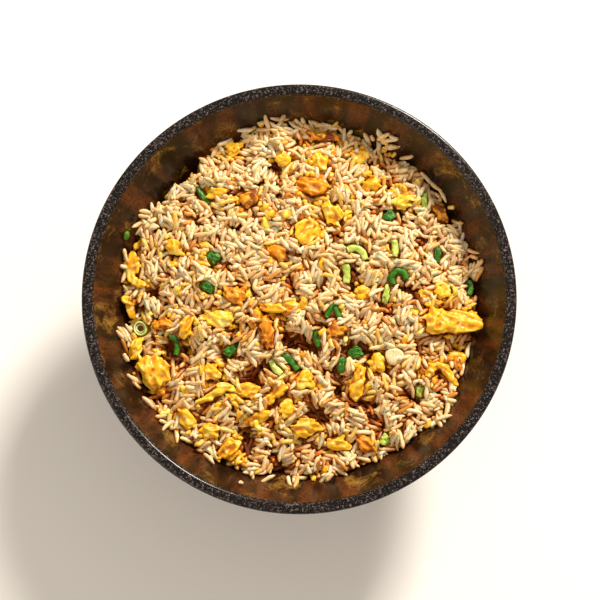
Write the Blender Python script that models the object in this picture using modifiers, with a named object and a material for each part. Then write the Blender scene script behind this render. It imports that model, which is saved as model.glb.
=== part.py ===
"""Egg fried rice with spring onion, heaped in a deep glazed stoneware bowl.

Lengths in the tables below are millimetres. +Z is up, the origin is the
centre of the foot ring on the table, and -Y is the diner's side.
"""

import math
import random
from dataclasses import dataclass

import bmesh
import bpy
from mathutils import Matrix, Vector, noise
from mathutils.geometry import delaunay_2d_cdt

MM = 0.001

# Bowl
RIM_RADIUS = 105.0
RIM_INNER_RADIUS = 100.0
RIM_HEIGHT = 80.0
RIM_ROUNDING = 1.3
FLOOR_TOP = 12.0
CAVITY_POWER = 0.36
CAVITY_STATIONS = 8
CAVITY_STATION_SPREAD = 2.2
OUTER_BASE_HEIGHT = 5.0
OUTER_STATION_HEIGHTS = (62.0, 45.0, 29.0, 13.0)
FOOT_RADIUS = 46.0
FOOT_INNER_RADIUS = 40.5
FOOT_ROUNDING = 1.0
BOWL_STEPS = 52

# Heap of rice
HEAP_CROWN = 69.6
HEAP_POWER = 2.2
HEAP_EDGE_HEIGHT = 58.6
HEAP_WALL_OFFSET = 0.35
HEAP_EDGE_POINTS = 72
HEAP_RING_HEIGHTS = (46.0, 27.0, 15.5)
HEAP_SEED = 3
SHELF_LINE = -19.0
SHELF_RISE = 1.1
SHELF_DROP = 1.7

# Rises of the heap's edge up the wall: bearing in degrees, half width, rise
EDGE_SWELLS = (
    (97.0, 13.0, 5.2),
    (64.0, 10.0, 1.6),
    (146.0, 12.0, 1.2),
    (228.0, 20.0, 2.6),
    (312.0, 18.0, 2.8),
    (352.0, 9.0, 1.8),
)

# Dark hollows between clumps: x, y, radius, depth
HOLLOWS = (
    (-1.0, -22.5, 5.0, 3.2),
    (55.0, -9.0, 5.0, 2.8),
    (-54.0, -28.5, 4.0, 2.8),
    (-71.0, 2.0, 4.0, 3.0),
    (-5.0, -48.5, 4.0, 2.6),
    (-10.0, 62.0, 4.0, 2.6),
    (-31.0, 37.5, 3.2, 2.2),
    (7.0, 17.0, 2.6, 2.0),
    (49.5, 3.0, 3.2, 2.2),
    (-14.0, -65.5, 3.4, 2.0),
    (-31.0, -62.5, 3.6, 2.4),
    (22.0, -23.5, 3.4, 2.2),
    (-40.0, 3.6, 2.6, 1.8),
    (41.5, -65.0, 3.4, 2.0),
)

# Grains
GRAIN_LENGTH = 9.4
GRAIN_WIDTH = 2.7
RIDGE_COUNT = 600
RIDGE_SPACING = 2.9
RIDGE_LIFT = 1.25
VALLEY_DROP = 0.85
VALLEY_SPACING = 3.4
VALLEY_REACH = 1.1
GRID_CELL = 4.0
RIDGE_ATTEMPTS = 60000
RIDGE_REACH = 0.88
RIDGE_EDGE_MARGIN = 1.7
RIDGE_BED_MARGIN = 0.7
VALLEY_STEP = 0.8
VALLEY_EDGE_MARGIN = 1.2
VALLEY_BED_MARGIN = 0.8
GRAIN_LIFT = 1.7
GRAIN_WALL_MARGIN = 1.9
GRAIN_BED_MARGIN = 1.5
GRAIN_ATTEMPTS = 8
LOOSE_GRAINS = 22
LOOSE_REACH = 0.77
EDGE_GRAINS = 20
FUSE_TOLERANCE = 0.02

# Gaps that keep each topping clear of its bed in the rice
REST_GAP = 0.35
BED_MARGIN = 0.55
BED_SINK = 0.5
BED_SIDES = 7
EDGE_MARGIN = 1.0


@dataclass(frozen=True)
class Curd:
    """A lump of scrambled egg: where it lies, its size and its colour."""

    name: str
    x: float
    y: float
    bearing: float
    length: float
    width: float
    thickness: float
    tone: str = "egg"


@dataclass(frozen=True)
class Shred:
    """A thin curved piece that follows a path across the heap."""

    name: str
    path: tuple
    width: float
    thickness: float
    tone: str
    beds: int = 1


CURDS = (
    Curd("egg_left_large", -70.6, -36.6, -60.0, 18.4, 15.0, 5.0),
    Curd("egg_left_oval", -79.8, -24.4, 68.0, 11.0, 7.4, 4.0),
    Curd("egg_left_pale", -39.3, -9.6, -8.0, 18.5, 8.6, 3.4, "egg_pale"),
    Curd("egg_left_upright", -54.6, -13.2, 78.0, 12.5, 7.2, 3.8),
    Curd("egg_left_orange", -67.3, -12.4, -6.0, 10.6, 6.6, 3.6, "egg_browned"),
    Curd("egg_left_mid", -31.8, 1.4, -24.0, 10.4, 8.0, 3.8, "egg_browned"),
    Curd("egg_left_back", -61.5, 25.5, -40.0, 11.0, 6.6, 3.6),
    Curd("egg_left_rear", -40.0, 54.0, -6.0, 10.4, 5.4, 3.2),
    Curd("egg_rear_curl", -24.4, 49.8, 12.0, 9.6, 8.0, 3.8, "egg_browned"),
    Curd("egg_rear_brown", 6.6, 55.8, -2.0, 16.2, 10.2, 4.2, "egg_browned"),
    Curd("egg_rear_middle", 16.8, 41.8, -32.0, 11.6, 8.8, 4.0),
    Curd("egg_rear_small", 10.6, 68.6, -58.0, 10.0, 7.4, 3.6),
    Curd("egg_rear_shaded", 14.0, 81.6, 4.0, 13.6, 6.4, 3.8, "egg_browned"),
    Curd("egg_rear_right", 36.6, 57.6, 14.0, 9.6, 7.4, 3.6),
    Curd("egg_middle_broad", 3.6, 33.0, 62.0, 14.6, 12.0, 3.4),
    Curd("egg_middle_small", -10.6, 22.6, -20.0, 9.8, 7.6, 3.4, "egg_browned"),
    Curd("egg_right_rear", 50.8, 48.2, 18.0, 10.6, 8.2, 4.4, "egg_pale"),
    Curd("egg_right_orange", 70.3, 43.4, -54.0, 12.6, 5.8, 3.8, "egg_browned"),
    Curd("egg_centre_brown", -15.4, -18.6, 88.0, 13.4, 6.4, 4.0, "egg_browned"),
    Curd("egg_centre_right", 18.6, -15.0, -12.0, 9.6, 7.8, 3.6, "egg_browned"),
    Curd("egg_front_left_long", -54.8, -58.0, -48.0, 14.0, 7.4, 4.0),
    Curd("egg_front_left_end", -43.0, -63.8, 12.0, 9.6, 8.0, 4.0),
    Curd("egg_front_left_low", -34.0, -72.8, 60.0, 12.6, 9.4, 4.4),
    Curd("egg_front_bent", -25.4, -44.2, 8.0, 11.6, 7.6, 3.8),
    Curd("egg_front_leaf", -10.8, -45.8, 40.0, 13.0, 5.6, 3.0),
    Curd("egg_front_slip", -19.6, -57.6, 24.0, 11.6, 5.8, 3.4),
    Curd("egg_front_broad", 2.4, -62.6, 14.0, 16.0, 8.6, 4.0),
    Curd("egg_front_long", 18.4, -70.6, -4.0, 14.6, 6.6, 3.8),
    Curd("egg_front_upright", 28.4, -41.0, 84.0, 17.6, 8.0, 4.4),
    Curd("egg_front_right", 31.2, -70.6, -34.0, 10.4, 7.4, 4.0, "egg_browned"),
    Curd("egg_front_crest", -42.6, -36.4, -30.0, 9.6, 7.6, 3.6),
    Curd("onion_slice", 46.4, -28.6, -30.0, 9.4, 7.2, 2.6, "onion_white"),
)

SHREDS = (
    Shred(
        "egg_left_crescent",
        ((-79.0, 21.6), (-82.6, 18.0), (-83.2, 12.6), (-79.8, 8.6), (-73.4, 7.6)),
        4.4, 3.0, "egg", 3,
    ),
    Shred("egg_left_edge", ((-82.4, 1.6), (-83.0, -3.0), (-81.2, -7.6)), 4.2, 3.0, "egg"),
    Shred(
        "egg_centre_strip",
        ((-19.4, -4.0), (-13.0, -5.2), (-6.4, -5.0), (-1.4, -3.6)),
        4.4, 2.6, "egg",
    ),
    Shred(
        "egg_front_strip",
        ((-33.4, -42.0), (-39.0, -45.4), (-44.6, -48.8), (-50.4, -50.4)),
        3.8, 2.6, "egg_pale",
    ),
    Shred(
        "egg_right_crescent",
        ((62.0, -38.6), (64.4, -34.2), (69.0, -32.4), (73.0, -36.0), (73.8, -40.4)),
        4.2, 3.0, "egg", 3,
    ),
    Shred(
        "spring_onion_slice",
        ((22.6, 16.4), (23.4, 12.0), (23.0, 7.4)),
        3.9, 1.9, "onion_pale",
    ),
    Shred(
        "spring_onion_arch",
        ((23.6, 23.8), (27.4, 24.8), (31.0, 22.8), (32.6, 18.8)),
        3.2, 1.7, "onion_pale", 2,
    ),
    Shred(
        "spring_onion_stalk",
        ((46.8, 29.0), (47.2, 24.6), (46.8, 20.4)),
        3.5, 2.2, "onion_pale",
    ),
    Shred(
        "spring_onion_fold",
        ((-63.6, -17.8), (-60.4, -19.4), (-59.8, -23.6), (-60.4, -27.0)),
        2.8, 1.7, "onion_green",
    ),
    Shred(
        "spring_onion_centre",
        ((8.6, -15.6), (8.2, -19.4), (9.6, -23.4)),
        2.7, 1.6, "onion_green",
    ),
    Shred(
        "spring_onion_front",
        ((-7.4, -27.2), (-4.2, -30.6), (-0.8, -34.8)),
        3.2, 1.6, "onion_green",
    ),
    Shred(
        "spring_onion_bent",
        ((13.0, -9.6), (15.8, -5.0), (17.4, -4.8), (19.8, -9.8)),
        2.4, 1.6, "onion_green",
    ),
    Shred(
        "spring_onion_edge",
        ((84.0, 10.0), (85.0, 6.6), (83.8, 2.6)),
        2.6, 1.6, "onion_green",
    ),
    Shred(
        "spring_onion_tuft",
        ((-13.8, -30.4), (-12.2, -34.0), (-8.6, -37.2)),
        3.2, 1.7, "onion_pale",
    ),
    Shred(
        "spring_onion_curl",
        ((45.9, 6.6), (45.2, 10.4), (47.8, 13.2), (51.4, 12.6), (52.4, 9.4)),
        3.2, 2.4, "onion_green", 2,
    ),
    Shred(
        "spring_onion_rear",
        ((-50.2, 56.6), (-48.4, 53.2), (-44.6, 48.4)),
        2.6, 1.6, "onion_green",
    ),
)

# Small pieces fused to the rice they lie on: x, y, bearing, length, width, thickness
FUSED_BITS = (
    (-5.2, -54.0, 20.0, 7.4, 6.6, 3.6),
    (37.6, -31.6, 20.0, 8.0, 6.4, 3.4),
    (77.0, -27.6, -20.0, 8.2, 4.4, 3.0),
    (-8.2, 69.6, 70.0, 7.6, 6.4, 3.2),
    (31.6, 73.4, 10.0, 6.4, 5.2, 3.0),
    (-32.6, 76.6, 20.0, 7.8, 6.0, 3.2),
    (3.0, -40.0, 30.0, 7.4, 6.6, 3.4),
    (31.2, 2.8, 10.0, 7.6, 5.6, 3.0),
    (-49.0, 18.0, -20.0, 8.2, 4.4, 2.8),
    (69.6, 3.4, 30.0, 7.4, 5.8, 3.2),
    (-33.6, -25.2, 30.0, 6.8, 3.6, 2.2),
    (-41.8, 20.4, -30.0, 5.4, 3.6, 2.2),
    (-44.6, 5.6, -30.0, 6.2, 3.4, 2.2),
    (68.4, 22.0, 88.0, 6.6, 2.6, 2.2),
    (62.4, 50.8, 88.0, 6.2, 2.6, 2.2),
    (44.0, 41.0, 50.0, 5.6, 4.0, 2.4),
    (42.4, 1.8, 80.0, 7.4, 3.0, 2.2),
    (20.6, -32.6, 80.0, 6.4, 2.8, 2.2),
    (27.4, -26.4, 10.0, 5.6, 4.2, 2.4),
    (58.6, -44.6, 80.0, 5.0, 3.2, 2.2),
    (41.4, -68.6, 40.0, 5.0, 4.0, 2.4),
)

# Large folded sheet of egg at the right, which reaches out over the wall
FOLD_NAME = "egg_right_folded"
FOLD_PLACE = (76.0, -11.6)
FOLD_BEARING = math.radians(-3.0)
FOLD_SIZE = (28.0, 15.5)
FOLD_SLOPE = (-0.06, -0.02)
FOLD_CELLS = (9, 4)
FOLD_SUPPORT = -10.0
# Along the sheet: share of its length, share of its width, height of its top
FOLD_STATIONS = (
    (0.0, 0.82, 4.6),
    (0.1, 1.0, 6.2),
    (0.24, 0.9, 2.6),
    (0.45, 0.86, 3.6),
    (0.75, 0.8, 3.2),
    (1.0, 0.34, 2.2),
)

# Ring of spring onion: outer radius, wall thickness and height, and its place
RING_SIZE = (3.7, 1.2, 2.4)
RING_PLACE = (-77.4, -13.4)
RING_STEPS = 12

# Pieces clinging to the wall: bearing, height and turn, then their size
WALL_BIT_GAP = 0.5
WALL_BITS = (
    (
        "spring_onion_bit_on_wall", "onion_green",
        (math.radians(159.5), 66.0, 0.4), (4.4, 3.4, 1.6),
    ),
    (
        "rice_crumb_on_wall", "rice",
        (math.radians(252.5), 71.0, 0.1), (2.8, 2.2, 1.2),
    ),
)

TONES = {
    "glaze": ((0.028, 0.024, 0.022), 0.28),
    "rice": ((0.78, 0.60, 0.36), 0.45),
    "egg": ((0.86, 0.55, 0.06), 0.42),
    "egg_pale": ((0.88, 0.70, 0.22), 0.42),
    "egg_browned": ((0.62, 0.25, 0.03), 0.45),
    "onion_pale": ((0.50, 0.58, 0.11), 0.35),
    "onion_green": ((0.06, 0.21, 0.02), 0.35),
    "onion_white": ((0.80, 0.67, 0.40), 0.35),
}


def clear_scene():
    """Remove whatever the open scene holds."""
    for item in list(bpy.data.objects):
        bpy.data.objects.remove(item, do_unlink=True)


def new_collection(name):
    """Return a new collection linked to the scene."""
    collection = bpy.data.collections.new(name)
    bpy.context.scene.collection.children.link(collection)
    return collection


def tone_material(tone):
    """Return the Principled material of one food or glaze tone."""
    found = bpy.data.materials.get(tone)
    if found:
        return found
    colour, roughness = TONES[tone]
    material = bpy.data.materials.new(tone)
    material.use_nodes = True
    shader = material.node_tree.nodes["Principled BSDF"]
    shader.inputs["Base Color"].default_value = (*colour, 1.0)
    shader.inputs["Roughness"].default_value = roughness
    shader.inputs["Metallic"].default_value = 0.0
    return material


def add_object(name, mesh, collection, parent=None, tone=None):
    """Wrap a mesh in an object, dress it and hang it on its parent."""
    item = bpy.data.objects.new(name, mesh)
    collection.objects.link(item)
    item.parent = parent
    if tone:
        mesh.materials.append(tone_material(tone))
    return item


def smooth_step(value):
    """Ease from 0 to 1 as value goes from 0 to 1."""
    clamped = min(1.0, max(0.0, value))
    return clamped * clamped * (3.0 - 2.0 * clamped)


# The bowl


def cavity_stations():
    """Return the (radius, height) points of the bowl's inside, floor to rim."""
    stations = [(0.0, FLOOR_TOP)]
    for index in range(1, CAVITY_STATIONS + 1):
        share = (index / CAVITY_STATIONS) ** CAVITY_STATION_SPREAD
        height = FLOOR_TOP + (RIM_HEIGHT - FLOOR_TOP) * share
        stations.append((RIM_INNER_RADIUS * share ** CAVITY_POWER, height))
    return stations


CAVITY = cavity_stations()


def cavity_radius(height):
    """Return the radius of the bowl's inside at a height."""
    for (low_r, low_z), (high_r, high_z) in zip(CAVITY, CAVITY[1:]):
        if height <= high_z:
            share = (height - low_z) / (high_z - low_z)
            return low_r + (high_r - low_r) * share
    return RIM_INNER_RADIUS


def outer_radius(height):
    """Return the radius of the bowl's outside at a height."""
    share = (height - OUTER_BASE_HEIGHT) / (RIM_HEIGHT - OUTER_BASE_HEIGHT)
    return RIM_RADIUS * share ** CAVITY_POWER


def bowl_profile():
    """Return the section: up the inside, over the rim and down the outside."""
    profile = CAVITY[:-1]
    profile += [
        (cavity_radius(RIM_HEIGHT - RIM_ROUNDING), RIM_HEIGHT - RIM_ROUNDING),
        (RIM_INNER_RADIUS + 0.4 * RIM_ROUNDING, RIM_HEIGHT - 0.2 * RIM_ROUNDING),
        (RIM_INNER_RADIUS + 1.4 * RIM_ROUNDING, RIM_HEIGHT),
        (RIM_RADIUS - RIM_ROUNDING, RIM_HEIGHT),
        (RIM_RADIUS, RIM_HEIGHT - RIM_ROUNDING),
    ]
    profile += [(outer_radius(height), height) for height in OUTER_STATION_HEIGHTS]
    profile += [
        (FOOT_RADIUS, FOOT_ROUNDING),
        (FOOT_RADIUS - FOOT_ROUNDING, 0.0),
        (FOOT_INNER_RADIUS + FOOT_ROUNDING, 0.0),
        (FOOT_INNER_RADIUS, FOOT_ROUNDING),
        (FOOT_INNER_RADIUS - FOOT_ROUNDING, OUTER_BASE_HEIGHT),
        (0.0, OUTER_BASE_HEIGHT),
    ]
    return profile


def build_bowl(collection, parent):
    """Turn the bowl's section round its axis."""
    mesh = bpy.data.meshes.new("bowl")
    points = [(radius * MM, 0.0, height * MM) for radius, height in bowl_profile()]
    edges = [(index, index + 1) for index in range(len(points) - 1)]
    mesh.from_pydata(points, edges, [])
    bowl = add_object("bowl", mesh, collection, parent, "glaze")
    turn = bowl.modifiers.new("turn", "SCREW")
    turn.axis = "Z"
    turn.angle = math.tau
    turn.steps = BOWL_STEPS
    turn.render_steps = BOWL_STEPS
    turn.use_merge_vertices = True
    turn.merge_threshold = 0.00001
    turn.use_smooth_shade = True
    return bowl


# The surface of the heap


def heap_edge(bearing):
    """Return the (radius, height) where the heap meets the wall."""
    height = HEAP_EDGE_HEIGHT
    for centre, half_width, rise in EDGE_SWELLS:
        away = (math.degrees(bearing) - centre + 180.0) % 360.0 - 180.0
        height += rise * math.exp(-((away / half_width) ** 2))
    height += 1.0 * math.sin(9.0 * bearing + 1.0)
    height += 0.8 * math.sin(14.0 * bearing + 2.3)
    return cavity_radius(height - HEAP_WALL_OFFSET) - HEAP_WALL_OFFSET, height


def heap_height(x, y):
    """Return the height of the heap's body, without its grains, at a point."""
    radius = math.hypot(x, y)
    edge_radius, edge_height = heap_edge(math.atan2(y, x))
    share = min(1.0, radius / edge_radius)
    height = edge_height + (HEAP_CROWN - edge_height) * (1.0 - share ** HEAP_POWER)
    shelf_line = SHELF_LINE + 3.0 * math.sin(0.07 * x + 0.4)
    shelf = smooth_step(0.5 + (y - shelf_line) / 9.0)
    change = SHELF_RISE * shelf - SHELF_DROP * (1.0 - shelf)
    change += 2.1 * noise.noise(Vector((x, y, 4.0)) / 19.0)
    change += 1.3 * noise.noise(Vector((x, y, 31.0)) / 8.5)
    for centre_x, centre_y, reach, depth in HOLLOWS:
        away = math.hypot(x - centre_x, y - centre_y) / reach
        if away < 2.5:
            change -= depth * math.exp(-away * away)
    return height + change * (1.0 - share ** 8)


def heap_slope(x, y, reach):
    """Return the heap's gradient at a point, averaged over a reach."""
    along_x = heap_height(x + reach, y) - heap_height(x - reach, y)
    along_y = heap_height(x, y + reach) - heap_height(x, y - reach)
    return along_x / (2.0 * reach), along_y / (2.0 * reach)


class Bed:
    """The flat place in the rice that one topping lies on."""

    def __init__(self, item, slope, height, verts=None):
        """Take the plan of a topping, or of some of its points, as a simple outline."""
        self.slope = slope
        self.anchor = item.location.xy / MM
        self.height = height
        verts = verts or item.data.vertices
        plan = [(item.matrix_world @ vert.co).xy / MM for vert in verts]
        self.reach = 2.0 + max((point - self.anchor).length for point in plan)
        self.rays = []
        for index in range(BED_SIDES):
            turn = math.tau * (index + 0.5) / BED_SIDES
            ray = Vector((math.cos(turn), math.sin(turn)))
            self.rays.append((ray, max(ray.dot(point) for point in plan) + BED_MARGIN))

    def plane(self, x, y):
        """Return the height of the bed's plane at a point."""
        rise = self.slope[0] * (x - self.anchor.x) + self.slope[1] * (y - self.anchor.y)
        return self.height + rise

    def clearance(self, x, y):
        """Return how far outside the bed's outline a point is, in mm."""
        away = math.hypot(x - self.anchor.x, y - self.anchor.y) - self.reach
        if away > 2.0:
            return away
        return max(ray.x * x + ray.y * y - reach for ray, reach in self.rays)

    def outline(self):
        """Return the corners of the bed's outline."""
        corners = []
        for index, (ray, reach) in enumerate(self.rays):
            other, other_reach = self.rays[(index + 1) % BED_SIDES]
            cross = ray.x * other.y - ray.y * other.x
            corners.append((
                (reach * other.y - other_reach * ray.y) / cross,
                (other_reach * ray.x - reach * other.x) / cross,
            ))
        return corners


def lowered_edge(bearing, beds):
    """Return the (radius, height) of the heap's edge, lowered under a topping."""
    radius, height = heap_edge(bearing)
    for attempt in range(3):
        x, y = radius * math.cos(bearing), radius * math.sin(bearing)
        for bed in beds:
            if bed.clearance(x, y) < EDGE_MARGIN:
                height = min(height, bed.plane(x, y))
        radius = cavity_radius(height - HEAP_WALL_OFFSET) - HEAP_WALL_OFFSET
    return radius, height


def surface_height(x, y, beds):
    """Return the heap's height at a point, lowered where a topping lies."""
    height = heap_height(x, y)
    for bed in beds:
        if bed.clearance(x, y) < 0.05:
            height = min(height, bed.plane(x, y))
    return height


def clear_of_beds(x, y, beds, margin):
    """Tell whether a point is at least a margin away from every bed."""
    return all(bed.clearance(x, y) >= margin for bed in beds)


# Toppings


def lump_mesh(name, length, width, thickness, seed, sides=(8, 5)):
    """Return a lumpy curd with a flat base at z = 0, long along X."""
    shape = bmesh.new()
    around, along = sides
    bmesh.ops.create_uvsphere(shape, u_segments=around, v_segments=along, radius=1.0)
    for vert in shape.verts:
        sample = vert.co * 1.5 + Vector((seed * 7.1, seed * 3.7, seed * 1.9))
        swell = 1.0 + 0.62 * noise.noise(sample)
        x = vert.co.x * swell * length / 2.0
        y = vert.co.y * swell * width / 2.0
        fold = 0.5 * thickness * noise.noise(sample * 1.9)
        rise = max(0.0, 0.42 + 0.58 * vert.co.z) * thickness
        if vert.co.z > 0.1:
            rise += fold
        vert.co = Vector((x, y, rise)) * MM
    mesh = bpy.data.meshes.new(name)
    shape.to_mesh(mesh)
    shape.free()
    mesh.shade_smooth()
    return mesh


def strip_mesh(name, path, width, thickness, heights):
    """Return a strip of six-sided section swept along a plan path."""
    shape = bmesh.new()
    half_w = width / 2.0
    section = (
        (-half_w, 0.45), (-half_w * 0.72, 1.0), (half_w * 0.72, 1.0),
        (half_w, 0.45), (half_w * 0.7, 0.0), (-half_w * 0.7, 0.0),
    )
    rings = []
    for index, point in enumerate(path):
        before = Vector(path[max(0, index - 1)])
        after = Vector(path[min(len(path) - 1, index + 1)])
        along = (after - before).normalized()
        across = Vector((-along.y, along.x))
        taper = 0.72 if index in (0, len(path) - 1) else 1.0
        ring = []
        for side, level in section:
            place = Vector(point) + across * (side * taper)
            height = level * thickness + heights[index]
            ring.append(shape.verts.new(Vector((place.x, place.y, height)) * MM))
        rings.append(ring)
    count = len(section)
    for ring, following in zip(rings, rings[1:]):
        for index in range(count):
            beyond = (index + 1) % count
            shape.faces.new((ring[index], ring[beyond], following[beyond], following[index]))
    shape.faces.new(rings[0])
    shape.faces.new(rings[-1])
    bmesh.ops.recalc_face_normals(shape, faces=shape.faces)
    bmesh.ops.triangulate(shape, faces=shape.faces)
    mesh = bpy.data.meshes.new(name)
    shape.to_mesh(mesh)
    shape.free()
    return mesh


def smooth_path(points, count):
    """Return evenly spread points on a smooth curve through a path."""
    knots = [Vector(point) for point in points]
    ends = [2.0 * knots[0] - knots[1], *knots, 2.0 * knots[-1] - knots[-2]]
    places = []
    spans = len(knots) - 1
    for index in range(count):
        position = index / (count - 1) * spans
        span = min(spans - 1, int(position))
        t = position - span
        p0, p1, p2, p3 = ends[span:span + 4]
        curve = (
            2.0 * p1 + (p2 - p0) * t
            + (2.0 * p0 - 5.0 * p1 + 4.0 * p2 - p3) * t * t
            + (3.0 * p1 - p0 - 3.0 * p2 + p3) * t * t * t
        )
        places.append(curve / 2.0)
    return places


def fold_station(share):
    """Return the folded sheet's width share and top height along its length."""
    for low, high in zip(FOLD_STATIONS, FOLD_STATIONS[1:]):
        if share <= high[0]:
            blend = (share - low[0]) / (high[0] - low[0])
            return tuple(a + (b - a) * blend for a, b in zip(low[1:], high[1:]))
    return FOLD_STATIONS[-1][1:]


def folded_mesh():
    """Return the large egg sheet: a grid drawn to its outline, thick at its fold."""
    length, width = FOLD_SIZE
    shape = bmesh.new()
    bmesh.ops.create_grid(
        shape, x_segments=FOLD_CELLS[0], y_segments=FOLD_CELLS[1], size=0.5,
    )
    raised = bmesh.ops.extrude_face_region(shape, geom=list(shape.faces))
    tops = {item for item in raised["geom"] if isinstance(item, bmesh.types.BMVert)}
    for vert in shape.verts:
        share_x, share_y = vert.co.x + 0.5, 2.0 * vert.co.y
        width_share, top = fold_station(share_x)
        ripple = noise.noise(Vector((share_x * 4.0, share_y * 1.6, 5.0)))
        shift = 0.9 * noise.noise(Vector((share_x * 3.0, 9.0, 0.0)))
        bow = 1.0 - 0.45 * abs(share_y) ** 3
        level = max(1.1, top * bow + 0.9 * ripple) if vert in tops else 0.0
        inset = 0.9 if vert in tops else 0.82
        vert.co = Vector((
            (share_x - 0.5) * length * (1.0 if vert in tops else 0.94),
            share_y * width_share * width / 2.0 * inset + shift,
            level,
        )) * MM
    bmesh.ops.recalc_face_normals(shape, faces=shape.faces)
    bmesh.ops.triangulate(shape, faces=shape.faces)
    mesh = bpy.data.meshes.new(FOLD_NAME)
    shape.to_mesh(mesh)
    shape.free()
    return mesh


def lay_down(item, x, y, bearing, slope, height):
    """Lay a flat-based piece on a sloping plane."""
    normal = Vector((-slope[0], -slope[1], 1.0)).normalized()
    heading = Vector((math.cos(bearing), math.sin(bearing), 0.0))
    along = (heading - normal * heading.dot(normal)).normalized()
    across = normal.cross(along)
    turn = Matrix((along, across, normal)).transposed()
    item.rotation_euler = turn.to_euler()
    item.location = Vector((x, y, height)) * MM
    item.matrix_basis = Matrix.Translation(item.location) @ turn.to_4x4()


def bed_for(item, x, y, slope, support=0.0):
    """Return the bed under a piece and raise the piece onto it."""
    height = heap_height(x + support, y) - slope[0] * support - BED_SINK
    item.location.z = (height + REST_GAP) * MM
    bpy.context.view_layer.update()
    return Bed(item, slope, height)


def build_curd(curd, seed, collection, parent):
    """Add one egg curd and return its bed."""
    mesh = lump_mesh(curd.name, curd.length, curd.width, curd.thickness, seed)
    item = add_object(curd.name, mesh, collection, parent, curd.tone)
    slope = heap_slope(curd.x, curd.y, 0.4 * curd.length)
    lay_down(item, curd.x, curd.y, math.radians(curd.bearing), slope, 0.0)
    return bed_for(item, curd.x, curd.y, slope)


def build_fold(collection, parent):
    """Add the large folded sheet of egg and return its bed."""
    item = add_object(FOLD_NAME, folded_mesh(), collection, parent, "egg")
    x, y = FOLD_PLACE
    lay_down(item, x, y, FOLD_BEARING, FOLD_SLOPE, 0.0)
    return bed_for(item, x, y, FOLD_SLOPE, FOLD_SUPPORT)


def build_shred(shred, collection, parent):
    """Add one strip of egg or spring onion and return the beds along it."""
    centre = sum((Vector(point) for point in shred.path), Vector((0.0, 0.0)))
    centre /= len(shred.path)
    local = [Vector(point) - centre for point in shred.path]
    count = 4 if len(local) < 4 else 6
    path = smooth_path(local, count)
    mesh = strip_mesh(shred.name, path, shred.width, shred.thickness, [0.0] * count)
    item = add_object(shred.name, mesh, collection, parent, shred.tone)
    slope = heap_slope(centre.x, centre.y, 4.0)
    lay_down(item, centre.x, centre.y, 0.0, slope, 0.0)
    bed = bed_for(item, centre.x, centre.y, slope)
    if shred.beds == 1:
        return [bed]
    verts = list(item.data.vertices)
    sides = len(verts) // count
    beds = []
    for index in range(shred.beds):
        first = index * (count - 1) // shred.beds
        last = (index + 1) * (count - 1) // shred.beds
        part = verts[first * sides:(last + 1) * sides]
        beds.append(Bed(item, slope, bed.height, part))
    return beds


def build_onion_ring(collection, parent):
    """Add the ring cut across a spring onion stalk and return its bed."""
    outer, thickness, height = RING_SIZE
    mesh = bpy.data.meshes.new("spring_onion_ring")
    corners = (
        (outer - thickness, height), (outer - 0.3, height),
        (outer, 0.0), (outer - thickness, 0.0),
    )
    points = [(radius * MM, 0.0, level * MM) for radius, level in corners]
    count = len(points)
    mesh.from_pydata(points, [(index, (index + 1) % count) for index in range(count)], [])
    ring = add_object("spring_onion_ring", mesh, collection, parent, "onion_pale")
    turn = ring.modifiers.new("turn", "SCREW")
    turn.axis = "Z"
    turn.angle = math.tau
    turn.steps = RING_STEPS
    turn.render_steps = RING_STEPS
    turn.use_merge_vertices = True
    turn.merge_threshold = 0.00001
    x, y = RING_PLACE
    slope = heap_slope(x, y, outer)
    lay_down(ring, x, y, 0.0, slope, 0.0)
    bed = bed_for(ring, x, y, slope)
    bed.rays = [(ray, ray.dot(bed.anchor) + outer + BED_MARGIN) for ray, reach in bed.rays]
    return bed


def build_wall_bit(name, tone, place, size, collection, parent):
    """Add a small piece that clings to the bowl's inside above the rice."""
    bearing, height, turn = place
    mesh = lump_mesh(name, *size, seed=len(name), sides=(6, 4))
    item = add_object(name, mesh, collection, parent, tone)
    rise = cavity_radius(height + 1.0) - cavity_radius(height - 1.0)
    outward = Vector((math.cos(bearing), math.sin(bearing), 0.0))
    normal = (Vector((0.0, 0.0, rise)) - outward * 2.0).normalized()
    sideways = Vector((-math.sin(bearing), math.cos(bearing), 0.0))
    axes = Matrix((sideways, normal.cross(sideways), normal)).transposed()
    spot = outward * cavity_radius(height) + Vector((0.0, 0.0, height))
    item.location = (spot + normal * WALL_BIT_GAP) * MM
    item.rotation_euler = (axes @ Matrix.Rotation(turn, 3, "Z")).to_euler()
    return item


# The rice


class PointGrid:
    """Points kept in square cells, to find the nearest one quickly."""

    def __init__(self, cell):
        self.cell = cell
        self.cells = {}

    def key(self, x, y):
        """Return the cell that a point falls in."""
        return int(math.floor(x / self.cell)), int(math.floor(y / self.cell))

    def add(self, x, y):
        """Keep a point."""
        self.cells.setdefault(self.key(x, y), []).append((x, y))

    def nearest(self, x, y):
        """Return the distance to the nearest kept point, up to one cell."""
        column, row = self.key(x, y)
        best = self.cell
        for across in (-1, 0, 1):
            for along in (-1, 0, 1):
                for other_x, other_y in self.cells.get((column + across, row + along), ()):
                    best = min(best, math.hypot(x - other_x, y - other_y))
        return best


def grain_bearing(x, y, draw):
    """Return the way a grain lies: much like its clump, with some astray."""
    if draw.random() < 0.3:
        return draw.uniform(0.0, math.pi)
    clump = 2.6 * noise.noise(Vector((x, y, 77.0)) / 15.0) * math.pi
    return clump + draw.uniform(-0.5, 0.5)


def inside_heap(x, y, margin):
    """Tell whether a point is at least a margin inside the heap's edge."""
    return math.hypot(x, y) <= heap_edge(math.atan2(y, x))[0] - margin


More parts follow.
